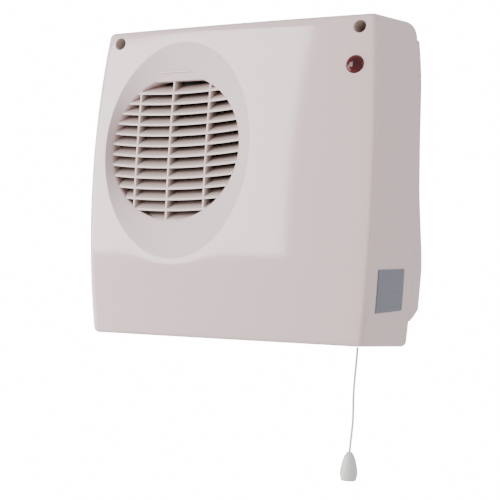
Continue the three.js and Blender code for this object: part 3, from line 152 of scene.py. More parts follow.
def new_material(name, colour, roughness, metallic=0.0):
    """A material with its shader, its nodes and its links at hand."""
    material = bpy.data.materials.new(name)
    material.use_nodes = True
    shader = material.node_tree.nodes["Principled BSDF"]
    shader.inputs["Base Color"].default_value = (*colour, 1)
    shader.inputs["Roughness"].default_value = roughness
    shader.inputs["Metallic"].default_value = metallic
    return material, shader, material.node_tree.nodes, material.node_tree.links


def two_tone(tree, links, source, dark, light, start=0.0, end=1.0):
    """A colour between two tones, chosen by another node's output."""
    ramp = tree.new("ShaderNodeValToRGB")
    for element, position, colour in zip(ramp.color_ramp.elements, (start, end), (dark, light)):
        element.position = position
        element.color = (*colour, 1)
    links.new(source, ramp.inputs["Fac"])
    return ramp.outputs["Color"]


def raise_surface(tree, links, shader, height, strength, distance):
    """Raises and lowers the surface slightly by another node's output."""
    bump = tree.new("ShaderNodeBump")
    bump.inputs["Strength"].default_value = strength
    bump.inputs["Distance"].default_value = distance
    links.new(height, bump.inputs["Height"])
    links.new(bump.outputs["Normal"], shader.inputs["Normal"])


def grow_ring(bm, ring, places):
    """Extrudes a closed ring of vertices and moves the new ring to its places."""
    count = len(ring)
    edges = [bm.edges.get((ring[k], ring[(k + 1) % count])) for k in range(count)]
    made = bmesh.ops.extrude_edge_only(bm, edges=edges)["geom"]
    fresh = {item for item in made if isinstance(item, bmesh.types.BMVert)}
    grown = [next(e.other_vert(v) for e in v.link_edges if e.other_vert(v) in fresh) for v in ring]
    for vertex, place in zip(grown, places):
        vertex.co = place
    return grown


def first_ring(bm, places):
    """A closed ring of vertices at the given places."""
    ring = bmesh.ops.create_circle(bm, cap_ends=False, segments=len(places), radius=1)["verts"]
    for vertex, place in zip(ring, places):
        vertex.co = place
    return ring


def smooth_route(points, steps):
    """Points on a smooth curve through a route given as x, depth and z."""
    places = [Vector((x, -depth, z)) for x, depth, z in points]
    places = [2 * places[0] - places[1]] + places + [2 * places[-1] - places[-2]]
    curve = []
    for k in range(1, len(places) - 2):
        a, b, c, d = places[k - 1:k + 3]
        for step in range(steps):
            t = step / steps
            curve.append(0.5 * (2 * b + (c - a) * t + (2 * a - 5 * b + 4 * c - d) * t * t
                                + (3 * b - a - 3 * c + d) * t ** 3))
    return curve + [places[-2]]


def braid_material():
    """White braid: crossing strands from the tube's own map, raised by a bump."""
    material, shader, tree, links = new_material("cord_braid", (0.78, 0.77, 0.75), 0.75)
    shader.inputs["Sheen Weight"].default_value = 0.25
    across = tree.new("ShaderNodeUVMap")
    strands = []
    for turn in (1, -1):
        mapping = tree.new("ShaderNodeMapping")
        mapping.inputs["Rotation"].default_value = (0, 0, turn * math.radians(45))
        wave = tree.new("ShaderNodeTexWave")
        wave.bands_direction = "X"
        wave.inputs["Scale"].default_value = 1.6
        links.new(across.outputs["UV"], mapping.inputs["Vector"])
        links.new(mapping.outputs["Vector"], wave.inputs["Vector"])
        strands.append(wave)
    crossed = tree.new("ShaderNodeMath")
    crossed.operation = "MAXIMUM"
    links.new(strands[0].outputs["Fac"], crossed.inputs[0])
    links.new(strands[1].outputs["Fac"], crossed.inputs[1])
    tint = two_tone(tree, links, crossed.outputs[0], (0.52, 0.51, 0.5), (0.82, 0.81, 0.79))
    links.new(tint, shader.inputs["Base Color"])
    raise_surface(tree, links, shader, crossed.outputs[0], 0.5, 0.0001)
    return material


braid = braid_material()


def cord_tube(name, line, body):
    """A closed round tube of braid along a line, with its own map round and along it."""
    bm = bmesh.new()
    radius = CORD_DIAMETER * 500
    ring = None
    for k, place in enumerate(line):
        along = (line[min(k + 1, len(line) - 1)] - line[max(k - 1, 0)]).normalized()
        side = along.cross(Vector((0, 1, 0))).normalized()
        other = along.cross(side)
        places = [place + radius * (side * math.cos(t) + other * math.sin(t))
                  for t in (j * math.tau / CORD_SIDES for j in range(CORD_SIDES))]
        if ring is None:
            ring = first_ring(bm, places)
            bmesh.ops.contextual_create(bm, geom=ring)
        else:
            ring = grow_ring(bm, ring, places)
    bmesh.ops.contextual_create(bm, geom=ring)
    bmesh.ops.recalc_face_normals(bm, faces=bm.faces)
    mapped = bm.loops.layers.uv.new("UVMap")
    for face in bm.faces:
        for loop in face.loops:
            across = loop.vert.co - line[0]
            turn = math.atan2(across.y, across.x) / math.tau
            loop[mapped].uv = (turn * BRAID_STRANDS, loop.vert.co.z / (BRAID_PITCH * 500))
    return add_piece(name, bm, braid, body)


hang_line = smooth_route(CORD_ROUTE, 6)
pull_cord = cord_tube("pull_cord_braid", hang_line, "hanging_cord")
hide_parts("pull_cord")

# ---- Cord knob -------------------------------------------------------------------------------------------
# A bell-shaped pull moulded in white plastic. The cord goes through its neck and is knotted in the hollow
# underneath, so the neck has a small collar round the hole.
KNOB_PROFILE = [(1.2, 0), (2.1, 0), (2.5, -0.25), (2.6, -0.7), (2.75, -1.2), (3.3, -1.7), (3.9, -2.9),
                (4.6, -4.7), (5.2, -6.8), (5.7, -9.0), (6.2, -11.2), (6.55, -12.9), (6.7, -14.4), (6.75, -15.5),
                (6.68, -16.8), (6.4, -18.4), (6.0, -20.0), (5.6, -21.0), (5.1, -21.45), (4.5, -21.5),
                (3.9, -21.3), (3.6, -20.6), (3.4, -19.2), (3.2, -17.2), (1.2, -16.9)]


def spun(profile, centre, segments=64):
    """A closed turned shape about a vertical axis, from radii and heights."""
    bm = bmesh.new()
    corners = [bm.verts.new((centre[0] + radius, centre[1], centre[2] + height)) for radius, height in profile]
    edges = [bm.edges.new(pair) for pair in zip(corners, corners[1:])]
    if profile[0][0] > 0.001:
        edges.append(bm.edges.new((corners[-1], corners[0])))
    bmesh.ops.spin(bm, geom=corners + edges, cent=centre, axis=(0, 0, 1), angle=math.tau, steps=segments,
                   use_merge=True)
    bmesh.ops.remove_doubles(bm, verts=bm.verts, dist=0.001)
    bmesh.ops.recalc_face_normals(bm, faces=bm.faces)
    return bm


def moulded_plastic(name, colour, roughness, grain_scale=900, grain=0.02, mottle=0.03, gloss=0.5):
    """Moulded plastic: a faint mottle in its colour and roughness, and a very fine grain on its surface."""
    material, shader, tree, links = new_material(name, colour, roughness)
    shader.inputs["Specular IOR Level"].default_value = gloss
    place = tree.new("ShaderNodeTexCoord")
    clouds = tree.new("ShaderNodeTexNoise")
    clouds.inputs["Scale"].default_value = 14
    clouds.inputs["Detail"].default_value = 4
    links.new(place.outputs["Object"], clouds.inputs["Vector"])
    darker = [c * (1 - mottle) for c in colour]
    links.new(two_tone(tree, links, clouds.outputs["Fac"], darker, colour, 0.35, 0.65),
              shader.inputs["Base Color"])
    polish = tree.new("ShaderNodeMapRange")
    polish.inputs["To Min"].default_value = roughness * 0.9
    polish.inputs["To Max"].default_value = roughness * 1.15
    links.new(clouds.outputs["Fac"], polish.inputs["Value"])
    links.new(polish.outputs["Result"], shader.inputs["Roughness"])
    fine = tree.new("ShaderNodeTexNoise")
    fine.inputs["Scale"].default_value = grain_scale
    fine.inputs["Detail"].default_value = 2
    links.new(place.outputs["Object"], fine.inputs["Vector"])
    raise_surface(tree, links, shader, fine.outputs["Fac"], grain, 0.0002)
    return material


white_plastic = moulded_plastic("white_plastic", (0.74, 0.72, 0.7), 0.38, grain=0.05)
knob_top = (CORD_ROUTE[-1][0], -CORD_ROUTE[-1][1], CORD_ROUTE[-1][2] - 0.3)
knob = add_piece("pull_knob", spun(KNOB_PROFILE, knob_top), white_plastic, "hanging_cord", 50)
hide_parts("cord_knob")

# The stretch of the same cord inside the bush and the switch, which comes into view when it is pulled.
UPPER_STEPS = 24
upper_low, upper_high = (corner[2] * 1000 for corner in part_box("cord_upper"))
upper_line = [Vector((*CORD_EXIT[:2], upper_high + (upper_low - upper_high) * k / UPPER_STEPS))
              for k in range(UPPER_STEPS + 1)]
upper_cord = cord_tube("cord_upper_braid", upper_line, "switch_pull")
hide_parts("cord_upper")

# ---- Rear housing ----------------------------------------------------------------------------------------
# The tray that is screwed to the wall, with the skirt round it that closes the casing at the back. It is
# moulded in the same glossy off-white plastic as the front.
IVORY = (0.76, 0.575, 0.575)
ivory = moulded_plastic("casing_ivory", IVORY, 0.07, grain_scale=700, grain=0.004, mottle=0.012,
                        gloss=0.75)


def finish_nodes(material, *names):
    """Gives CAD nodes their material."""
    for name in names:
        mesh = nodes[name].data
        mesh.materials.clear()
        mesh.materials.append(material)


finish_nodes(ivory, "rear_housing", "outlet_grille")

# ---- Scroll, its back plate and the screws ---------------------------------------------------------------
# The fan turns in a scroll moulded in black plastic. A zinc-plated steel plate closes the back of it, and
# four screws hold both on the pillars of the rear housing.
black_plastic = moulded_plastic("black_plastic", (0.02, 0.02, 0.022), 0.45, grain=0.12, mottle=0.2)
finish_nodes(black_plastic, "scroll_housing", "impeller", "thermal_cutout")


def zinc_material(name, colour, roughness, spangle):
    """Zinc-plated steel: soft patches of crystal in the plating, and fine drawn lines."""
    material, shader, tree, links = new_material(name, colour, roughness, 1.0)
    place = tree.new("ShaderNodeTexCoord")
    patches = tree.new("ShaderNodeTexVoronoi")
    patches.inputs["Scale"].default_value = spangle
    links.new(place.outputs["Object"], patches.inputs["Vector"])
    polish = tree.new("ShaderNodeMapRange")
    polish.inputs["To Min"].default_value = roughness * 0.8
    polish.inputs["To Max"].default_value = roughness * 1.3
    links.new(patches.outputs["Distance"], polish.inputs["Value"])
    links.new(polish.outputs["Result"], shader.inputs["Roughness"])
    lines = tree.new("ShaderNodeTexNoise")
    lines.inputs["Scale"].default_value = 300
    stretch = tree.new("ShaderNodeMapping")
    stretch.inputs["Scale"].default_value = (1, 1, 12)
    links.new(place.outputs["Object"], stretch.inputs["Vector"])
    links.new(stretch.outputs["Vector"], lines.inputs["Vector"])
    shade = two_tone(tree, links, lines.outputs["Fac"], [c * 0.8 for c in colour], colour)
    links.new(shade, shader.inputs["Base Color"])
    raise_surface(tree, links, shader, lines.outputs["Fac"], 0.08, 0.0002)
    return material


zinc = zinc_material("zinc_steel", (0.55, 0.56, 0.58), 0.34, 120)
finish_nodes(zinc, "scroll_back", "motor_bracket_front", "motor_bracket_rear", "switch_bracket",
             "switch_spring", "bracket_screw", "motor_shaft", "motor_rotor",
             *[f"scroll_screw_{k}" for k in range(1, 5)], *[f"motor_screw_{k}" for k in (1, 2)],
             *[f"cover_screw_{k}" for k in (1, 2)], *[f"clamp_screw_{k}" for k in (1, 2)])

# ---- Motor -----------------------------------------------------------------------------------------------
# A shaded-pole motor behind the scroll: a varnished stack of steel sheets, a copper winding on its lower
# leg, and bronze bushes in the two bridges that carry the shaft.


def layered_material(name, colour, dark, roughness, metallic, direction, scale):
    """Sheets or turns side by side: narrow bands in colour and height along one direction."""
    material, shader, tree, links = new_material(name, colour, roughness, metallic)
    place = tree.new("ShaderNodeTexCoord")
    bands = tree.new("ShaderNodeTexWave")
    bands.bands_direction = direction
    bands.inputs["Scale"].default_value = scale
    bands.inputs["Distortion"].default_value = 0.4
    links.new(place.outputs["Object"], bands.inputs["Vector"])
    links.new(two_tone(tree, links, bands.outputs["Fac"], dark, colour), shader.inputs["Base Color"])
    raise_surface(tree, links, shader, bands.outputs["Fac"], 0.4, 0.0002)
    return material


finish_nodes(layered_material("laminations", (0.16, 0.16, 0.18), (0.06, 0.06, 0.07), 0.45, 0.9, "Y", 320),
             "motor_core")
finish_nodes(layered_material("copper_winding", (0.43, 0.14, 0.045), (0.16, 0.04, 0.012), 0.3, 1, "X", 420),
             "motor_coil")
brass = zinc_material("brass", (0.58, 0.38, 0.08), 0.28, 200)
finish_nodes(brass, "shaft_bush_1", "shaft_bush_2", "switch_tab_1", "switch_tab_2",
             *[f"terminal_screw_{k}" for k in range(1, 7)])

# ---- Heater ----------------------------------------------------------------------------------------------
# Folded resistance ribbon on mica boards, in the duct under the fan.


def mottled_material(name, light, dark, roughness, metallic, scale):
    """Cloudy patches of two colours, with a shallow bump."""
    material, shader, tree, links = new_material(name, light, roughness, metallic)
    place = tree.new("ShaderNodeTexCoord")
    patches = tree.new("ShaderNodeTexNoise")
    patches.inputs["Scale"].default_value = scale
    patches.inputs["Detail"].default_value = 8
    links.new(place.outputs["Object"], patches.inputs["Vector"])
    links.new(two_tone(tree, links, patches.outputs["Fac"], dark, light, 0.38, 0.62),
              shader.inputs["Base Color"])
    raise_surface(tree, links, shader, patches.outputs["Fac"], 0.15, 0.0003)
    return material


finish_nodes(mottled_material("mica", (0.5, 0.44, 0.3), (0.33, 0.27, 0.16), 0.5, 0, 90), "heater_frame")
finish_nodes(mottled_material("nichrome", (0.3, 0.27, 0.25), (0.16, 0.12, 0.1), 0.42, 1, 160),
             *[f"heating_ribbon_{k}" for k in (1, 2, 3)])

# ---- Terminals, cable entry and wires --------------------------------------------------------------------
# A three-way terminal block, a clamp and a rubber grommet for the supply cable, and insulated wires.
finish_nodes(white_plastic, "terminal_block", "cable_clamp", "switch_body", "switch_slider", "cord_guide")
finish_nodes(mottled_material("grommet_rubber", (0.022, 0.022, 0.024), (0.014, 0.014, 0.015), 0.8, 0, 220),
             "cable_grommet")
finish_nodes(mottled_material("brown_insulation", (0.12, 0.045, 0.018), (0.095, 0.034, 0.013), 0.45, 0, 120),
             "wire_live", "wire_switched", "wire_heater", "wire_motor")
finish_nodes(mottled_material("blue_insulation", (0.03, 0.1, 0.36), (0.022, 0.08, 0.3), 0.45, 0, 120),
             "wire_neutral")

# ---- Front cover -----------------------------------------------------------------------------------------
# The large glossy moulding of the front, top, bottom and sides. Its front swells gently, with an oval dish
# on the left that falls evenly to the round air intake. A collar stands behind the intake's rim.
HALF_HEIGHT = 125
BACK_HALF_WIDTH = 119.8
BACK_BOW = 5.4  # how far the sides swell outwards at mid height, at the back and at the front
FRONT_HALF_WIDTH = 117.1
FRONT_BOW = 6.5
RIM_DEPTH = 21.5  # the cover's rear rim, to the wall
FRONT_DEPTH = 111.88  # the front's corners, to the wall
FRONT_SWELL, FRONT_LEAN, FRONT_SIDE_SWELL = 6.8, 0.9, 2.5  # up and down, top to bottom, side to side
EDGE_RADIUS = 4
CORNER_RADIUS = 4.3
TOP_BACK_HEIGHT = 135
TOP_BACK_RADIUS = 7
TOP_SLOPE = 0.165
DISH_X, DISH_Z = -44.2, 23
DISH_HALF_WIDTH, DISH_HALF_HEIGHT = 66, 87
DISH_EDGE = 0.3  # how far the dish's edge is rounded off
INTAKE_X, INTAKE_Z, INTAKE_RADIUS = -48.9, 25.3, 58.4
INTAKE_SET = 6.2  # how far the intake's rim and louvres lie behind the swell of the front
COLLAR_BACK_DEPTH = 97
COVER_WALL = 2.5
FALL_STEPS, EDGE_STEPS = 12, 7  # rings down the dish and beyond it, and round the front's edge
SATIN_IVORY = (0.7, 0.57, 0.57)  # the dish has the even satin grain of an etched mould


def bow(z):
    """The share of a swell at a height, one at mid height and none at the ends."""
    return 1 - (z / HALF_HEIGHT) ** 2


def front_face(x, z):
    """The front's distance from the wall."""
    across = 1 - (x / FRONT_HALF_WIDTH) ** 2
    return FRONT_DEPTH + FRONT_SWELL * bow(z) - FRONT_LEAN * z / HALF_HEIGHT + FRONT_SIDE_SWELL * across


def half_width(level, z):
    """Half the casing's width at a depth and a height."""
    share = (level - RIM_DEPTH) / (FRONT_DEPTH - RIM_DEPTH)
    back, front = BACK_HALF_WIDTH + BACK_BOW * bow(z), FRONT_HALF_WIDTH + FRONT_BOW * bow(z)
    return back + (front - back) * share


def roof(level):
    """The roof's height, with its rounded rear edge."""
    over = max(0.0, RIM_DEPTH + TOP_BACK_RADIUS - level)
    edge = TOP_BACK_HEIGHT - TOP_BACK_RADIUS + math.sqrt(max(0.0, TOP_BACK_RADIUS ** 2 - over ** 2))
    return min(edge, TOP_BACK_HEIGHT - TOP_SLOPE * max(0.0, level - RIM_DEPTH - 2 * TOP_BACK_RADIUS))


def casing_place(x, share, z):
    """A point of the plain box, bent to the casing's form: x, depth and z."""
    level = RIM_DEPTH + (FRONT_DEPTH - RIM_DEPTH) * share
    height = z / HALF_HEIGHT
    z = height * roof(level) if height > 0 else height * HALF_HEIGHT
    x = x / BACK_HALF_WIDTH * half_width(level, z)
    return x, RIM_DEPTH + share * (front_face(x, z) - RIM_DEPTH), z


def dish_reach(across, up):
    """How far the dish's edge lies from the intake's middle, in a direction across the front."""
    p, q = (INTAKE_X - DISH_X) / DISH_HALF_WIDTH, (INTAKE_Z - DISH_Z) / DISH_HALF_HEIGHT
    u, v = across / DISH_HALF_WIDTH, up / DISH_HALF_HEIGHT
    square, along = u * u + v * v, p * u + q * v
    return (math.sqrt(along ** 2 - square * (p * p + q * q - 1)) - along) / square


def dish(x, z):
    """How deep the dish is at a place: it falls evenly from its edge to the intake's rim."""
    out = math.hypot(x - INTAKE_X, z - INTAKE_Z)
    reach = dish_reach((x - INTAKE_X) / out, (z - INTAKE_Z) / out)
    fall = INTAKE_SET * min(1, (reach - out) / (reach - INTAKE_RADIUS))
    return 0.5 * (fall + math.sqrt(fall ** 2 + DISH_EDGE ** 2))


def box_outline(inset, side=46, corner=9):
    """The plain box's outline, drawn in, from the bottom of the right side round to the left."""
    radius = CORNER_RADIUS - inset
    wide, high = BACK_HALF_WIDTH - inset, HALF_HEIGHT - inset
    points = []
    for quarter, (sx, sz) in enumerate([(1, 1), (-1, 1), (-1, -1), (1, -1)]):
        turn = quarter * math.pi / 2
        middle = (sx * (wide - radius), sz * (high - radius))
        previous = [(1, -1), (1, 1), (-1, 1), (-1, -1)][quarter]
        start = (previous[0] * (wide - radius), previous[1] * (high - radius))
        offset = (math.cos(turn) * radius, math.sin(turn) * radius)
        for k in range(side):
            t = k / side
            points.append((start[0] + (middle[0] - start[0]) * t + offset[0],
                           start[1] + (middle[1] - start[1]) * t + offset[1]))
        for k in range(corner):
            angle = turn + (k / corner) * math.pi / 2
            points.append((middle[0] + radius * math.cos(angle), middle[1] + radius * math.sin(angle)))
    return points


def front_rings():
    """The places of every ring of the cover's outer skin, from the collar's back edge to the rear rim."""
    edge = [casing_place(x, 1, z) for x, z in box_outline(EDGE_RADIUS)]
    rays = []
    for x, _, z in edge:
        reach = math.hypot(x - INTAKE_X, z - INTAKE_Z)
        rays.append(((x - INTAKE_X) / reach, (z - INTAKE_Z) / reach, reach))

    def on_ray(ray, out):
        return INTAKE_X + ray[0] * out, INTAKE_Z + ray[1] * out

    rings = []
    for out, drop in [(0, None), (0, 4), (0, 0.5), (0.15, 0.15)]:
        ring = []
        for ray in rays:
            x, z = on_ray(ray, INTAKE_RADIUS + out)
            ring.append((x, z, COLLAR_BACK_DEPTH if drop is None else front_face(x, z) - INTAKE_SET - drop))
        rings.append(ring)
    radii = []
    for ray in rays:
        oval = dish_reach(*ray[:2])
        fall = [INTAKE_RADIUS + 0.5 + (oval - 1.3 - INTAKE_RADIUS) * k / FALL_STEPS
                for k in range(FALL_STEPS + 1)]
        outer = [oval + 0.8 + (ray[2] - oval - 0.8) * k / FALL_STEPS for k in range(FALL_STEPS + 1)]
        radii.append([*fall, oval - 0.4, oval - 0.15, oval, oval + 0.15, oval + 0.4, *outer])
    for k in range(len(radii[0])):
        ring = []
        for ray, steps in zip(rays, radii):
            x, z = on_ray(ray, steps[k])
            ring.append((x, z, front_face(x, z) - dish(x, z)))
        rings.append(ring)
    for k in range(1, EDGE_STEPS + 1):
        angle = k / EDGE_STEPS * math.pi / 2
        share = 1 - EDGE_RADIUS * (1 - math.cos(angle)) / (FRONT_DEPTH - RIM_DEPTH)
        rings.append([(x, z, depth) for x, depth, z in
                      (casing_place(x, share, z) for x, z in box_outline(EDGE_RADIUS * (1 - math.sin(angle))))])
    shoulder = 1 - EDGE_RADIUS / (FRONT_DEPTH - RIM_DEPTH)
    for share in [shoulder * s for s in (0.87, 0.74, 0.6, 0.45, 0.32, 0.2, 0.15, 0.11, 0.08, 0.05, 0.03,
                                         0.015, 0.005, 0)]:
        rings.append([(x, z, depth) for x, depth, z in
                      (casing_place(x, share, z) for x, z in box_outline(0))])
    return [[Vector((x, -depth, z)) for x, z, depth in ring] for ring in rings]


def apply_modifiers(piece):
    """Puts the result of a piece's modifiers into its mesh."""
    graph = bpy.context.evaluated_depsgraph_get()
    made = bpy.data.meshes.new_from_object(piece.evaluated_get(graph))
    piece.modifiers.clear()
    old = piece.data
    piece.data = made
    bpy.data.meshes.remove(old)


def cut_away(piece, bm):
    """Cuts a closed shape, made in millimetres, out of a piece."""
    bmesh.ops.scale(bm, vec=(0.001, 0.001, 0.001), verts=bm.verts)
    bmesh.ops.recalc_face_normals(bm, faces=bm.faces)
    mesh = bpy.data.meshes.new("cutter")
    bm.to_mesh(mesh)
    bm.free()
    cutter = bpy.data.objects.new("cutter", mesh)
    bpy.context.scene.collection.objects.link(cutter)
    boolean = piece.modifiers.new("cut", "BOOLEAN")
    boolean.operation = "DIFFERENCE"
    boolean.solver = "EXACT"
    boolean.object = cutter
    apply_modifiers(piece)
    bpy.data.objects.remove(cutter)
    bpy.data.meshes.remove(mesh)


cover_bm = bmesh.new()
cover_rings = front_rings()
ring = first_ring(cover_bm, cover_rings[0])
for places in cover_rings[1:]:
    ring = grow_ring(cover_bm, ring, places)
bmesh.ops.recalc_face_normals(cover_bm, faces=cover_bm.faces)
cover = add_piece("cover_shell", cover_bm, ivory, "casing")
ivory_satin = moulded_plastic("casing_ivory_satin", SATIN_IVORY, 0.42, grain_scale=700, grain=0.03,
                              mottle=0.012, gloss=0.35)
cover.data.materials.append(ivory_satin)
for face in cover.data.polygons:
    x, z = face.center.x * 1000, face.center.z * 1000
    out = math.hypot(x - INTAKE_X, z - INTAKE_Z)
    ahead_of_collar = -face.center.y * 1000 > FRONT_DEPTH - INTAKE_SET - 2
    if ahead_of_collar and INTAKE_RADIUS - 1 < out < dish_reach((x - INTAKE_X) / out, (z - INTAKE_Z) / out):
        face.material_index = 1
wall = cover.modifiers.new("wall", "SOLIDIFY")
wall.thickness = COVER_WALL / 1000
wall.offset = -1
apply_modifiers(cover)

# Two deep wells with a slightly flared mouth for the fixing screws, and the holes underneath for the warm
# air and the cord's bush.
WELL_X, WELL_Z, WELL_RADIUS, WELL_FLOOR_DEPTH = 105.1, 112.7, 4.8, 40
WELL_FLARE = 0.6
for side in (-1, 1):
    mouth = front_face(side * WELL_X, WELL_Z)
    hole = spun([(0, 100), (WELL_RADIUS, 100), (WELL_RADIUS, mouth - 0.6), (WELL_RADIUS + 0.15, mouth - 0.2),
                 (WELL_RADIUS + WELL_FLARE, mouth + 0.3), (WELL_RADIUS + WELL_FLARE, mouth + 5),
                 (0, mouth + 5)], (0, 0, 0))
    bmesh.ops.rotate(hole, verts=hole.verts, matrix=Matrix.Rotation(math.pi / 2, 3, "X"))
    bmesh.ops.translate(hole, verts=hole.verts, vec=(side * WELL_X, 0, WELL_Z))
    cut_away(cover, hole)
OUTLET = ((-87.5, 18.6), (46, 92))  # left and right, then back and front
CUT_DEPTH = 12  # enough to pass the wall
GUIDE_HOLE_RADIUS = 4.5
hole = bmesh.new()
bmesh.ops.create_cube(hole, size=1, matrix=Matrix.Translation(
    (sum(OUTLET[0]) / 2, -sum(OUTLET[1]) / 2, -HALF_HEIGHT)) @ Matrix.Diagonal(
    (OUTLET[0][1] - OUTLET[0][0], OUTLET[1][1] - OUTLET[1][0], CUT_DEPTH, 1)))
cut_away(cover, hole)
hole = bmesh.new()
bmesh.ops.create_cone(hole, cap_ends=True, segments=48, radius1=GUIDE_HOLE_RADIUS,
                      radius2=GUIDE_HOLE_RADIUS, depth=CUT_DEPTH,
                      matrix=Matrix.Translation((*CORD_EXIT[:2], -HALF_HEIGHT)))
cut_away(cover, hole)
NEON_X, NEON_Z, NEON_RADIUS = 103.5, 83.5, 7
hole = bmesh.new()
bmesh.ops.create_cone(hole, cap_ends=True, segments=64, radius1=NEON_RADIUS, radius2=NEON_RADIUS,
                      depth=16, matrix=Matrix.Translation((NEON_X, -front_face(NEON_X, NEON_Z), NEON_Z))
                      @ Matrix.Rotation(math.pi / 2, 4, "X"))
cut_away(cover, hole)
cover.data.shade_smooth()
cover.data.set_sharp_from_angle(angle=math.radians(32))
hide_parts("front_cover")

# The wells' tubes, each with a floor that the screw's head pulls on. Their walls are left matt by the mould,
# and their colour is darker than the cover's: painted shade down the deep wells.
well_painted_shade_ivory = moulded_plastic("well_painted_shade_ivory", (0.58, 0.5, 0.45), 0.5, grain_scale=700, grain=0.03)
WELL_WALL, WELL_SCREW_RADIUS = 2, 2.3
for number, side in enumerate((-1, 1), 1):
    inner, outer = WELL_RADIUS, WELL_RADIUS + WELL_WALL
    under, top = WELL_FLOOR_DEPTH - COVER_WALL, front_face(side * WELL_X, WELL_Z) - 1.2
    profile = [(WELL_SCREW_RADIUS, under), (outer, under), (outer, top), (inner, top),
               (inner, WELL_FLOOR_DEPTH), (WELL_SCREW_RADIUS, WELL_FLOOR_DEPTH)]
    well = spun(profile, (0, 0, 0), 48)
    bmesh.ops.rotate(well, verts=well.verts, matrix=Matrix.Rotation(math.pi / 2, 3, "X"))
    bmesh.ops.translate(well, verts=well.verts, vec=(side * WELL_X, 0, WELL_Z))
    add_piece(f"cover_well_{number}", well, well_painted_shade_ivory, "casing")

# ---- Louvres ---------------------------------------------------------------------------------------------
# Thirteen sloping bars across the intake, low at the front, with three narrow uprights between them. They
# droop a little in the middle and follow the swell of the front. A cap closes the top of the round opening
# with a straight edge, and a low ridge above it ends the cap. All of it is moulded in one with the cover.
LOUVRE_COUNT = 12  # in full view, besides the lowest one
LOUVRE_PITCH, LOUVRE_DROP, LOUVRE_THICKNESS = 8.6, 3.3, 2
LOUVRE_REACH, LOUVRE_RISE = 12, 8  # how far each one goes back and rises
LOUVRE_SAG = 0.001  # per millimetre squared from its middle
BAR_EDGE, BAR_CUTS = 0.45, 23
LOUVRE_IVORY = (0.71, 0.585, 0.555)
LOUVRE_PAINTED_SHADE = (0.26, 0.19, 0.155)  # the painted shade towards their rear edges, deep between them
MULLIONS = (-83.5, -52.9, -19.4)
MULLION_WIDTH = 1.8
SEAT_RADIUS = INTAKE_RADIUS + 1.2  # the bars end in the collar, this far from the intake's middle
INTAKE_FLAT = 54.2
CAP_THICKNESS = 4
CAP_RADIUS = INTAKE_RADIUS + 2.2  # it laps over the intake's rim
RIDGE_HEIGHT, RIDGE_LENGTH, RIDGE_X = 61.4, 34, -51.5
RIDGE_OUT, RIDGE_THICKNESS = 2.4, 1.5


def louvre_face(x, z):
    """The distance of the louvres' front edges from the wall."""
    return front_face(x, z) - INTAKE_SET


def seat_width(z):
    """Half the width between the collar's walls at a height."""
    return math.sqrt(max(1.0, SEAT_RADIUS ** 2 - (z - INTAKE_Z) ** 2))


def bar(size, along):
    """A box with rounded long edges, divided along one axis so that it can bend."""
    bm = bmesh.new()
    bmesh.ops.create_cube(bm, size=1, matrix=Matrix.Diagonal((*size, 1)))

    def lengthwise(edge):
        way = (edge.verts[1].co - edge.verts[0].co).normalized()
        return abs(way[along]) > 0.9

    bmesh.ops.bevel(bm, geom=[e for e in bm.edges if lengthwise(e)], offset=BAR_EDGE, segments=3, profile=0.5,
                    affect="EDGES", material=-1)
    bmesh.ops.subdivide_edges(bm, edges=[e for e in bm.edges if lengthwise(e)], cuts=BAR_CUTS,
                              use_grid_fill=True)
    return bm


# The louvres' colour is painted darker towards their rear edges, by how far each point lies behind their front
# edges: painted shade deep between the bars.
louvre_ivory = moulded_plastic("louvre_ivory", LOUVRE_IVORY, 0.25, grain_scale=700, grain=0.02)
louvre_nodes, louvre_links = louvre_ivory.node_tree.nodes, louvre_ivory.node_tree.links
deep = louvre_nodes.new("ShaderNodeAttribute")
deep.attribute_name = "behind"
painted_shade_tint = two_tone(louvre_nodes, louvre_links, deep.outputs["Fac"], LOUVRE_IVORY, LOUVRE_PAINTED_SHADE, 0.1)
louvre_links.new(painted_shade_tint, louvre_nodes["Principled BSDF"].inputs["Base Color"])
louvres_bm = bmesh.new()


def add_bar(bm):
    """Puts one finished bar with the others."""
    mesh = bpy.data.meshes.new("bar")
    bm.to_mesh(mesh)
    bm.free()
    louvres_bm.from_mesh(mesh)
    bpy.data.meshes.remove(mesh)


for k in range(-1, LOUVRE_COUNT):  # the lowest one's front edge is hidden under the rim
    z0 = INTAKE_Z - LOUVRE_DROP + (k - (LOUVRE_COUNT - 1) / 2) * LOUVRE_PITCH
    blade = bar((2, LOUVRE_REACH, LOUVRE_THICKNESS), 0)
    for vertex in blade.verts:
        x, y, z = vertex.co
        back = y / LOUVRE_REACH + 0.5
        x *= seat_width(z0 + back * LOUVRE_RISE)
        vertex.co = (INTAKE_X + x, back * LOUVRE_REACH - louvre_face(INTAKE_X + x, z0),
                     z0 + z + LOUVRE_SAG * x * x + back * LOUVRE_RISE)
    add_bar(blade)
for x0 in MULLIONS:
    chord = math.sqrt(SEAT_RADIUS ** 2 - (x0 - INTAKE_X) ** 2)
    upright = bar((MULLION_WIDTH, LOUVRE_REACH - 1, 2 * chord), 2)
    for vertex in upright.verts:
        x, y, z = vertex.co
        vertex.co = (x0 + x, y + (LOUVRE_REACH - 1) / 2 - louvre_face(x0, INTAKE_Z + z) + 0.25, INTAKE_Z + z)
    add_bar(upright)
cap = bmesh.new()
bmesh.ops.create_grid(cap, x_segments=32, y_segments=8, size=1)
for vertex in cap.verts:
    x, y, z = vertex.co
    z = INTAKE_Z + INTAKE_FLAT + (CAP_RADIUS - INTAKE_FLAT) * (y + 1) / 2
    x = INTAKE_X + x * math.sqrt(max(1.0, CAP_RADIUS ** 2 - (z - INTAKE_Z) ** 2))
    vertex.co = (x, dish(x, z) - front_face(x, z) - 0.1, z)
behind = bmesh.ops.extrude_face_region(cap, geom=cap.faces[:])["geom"]
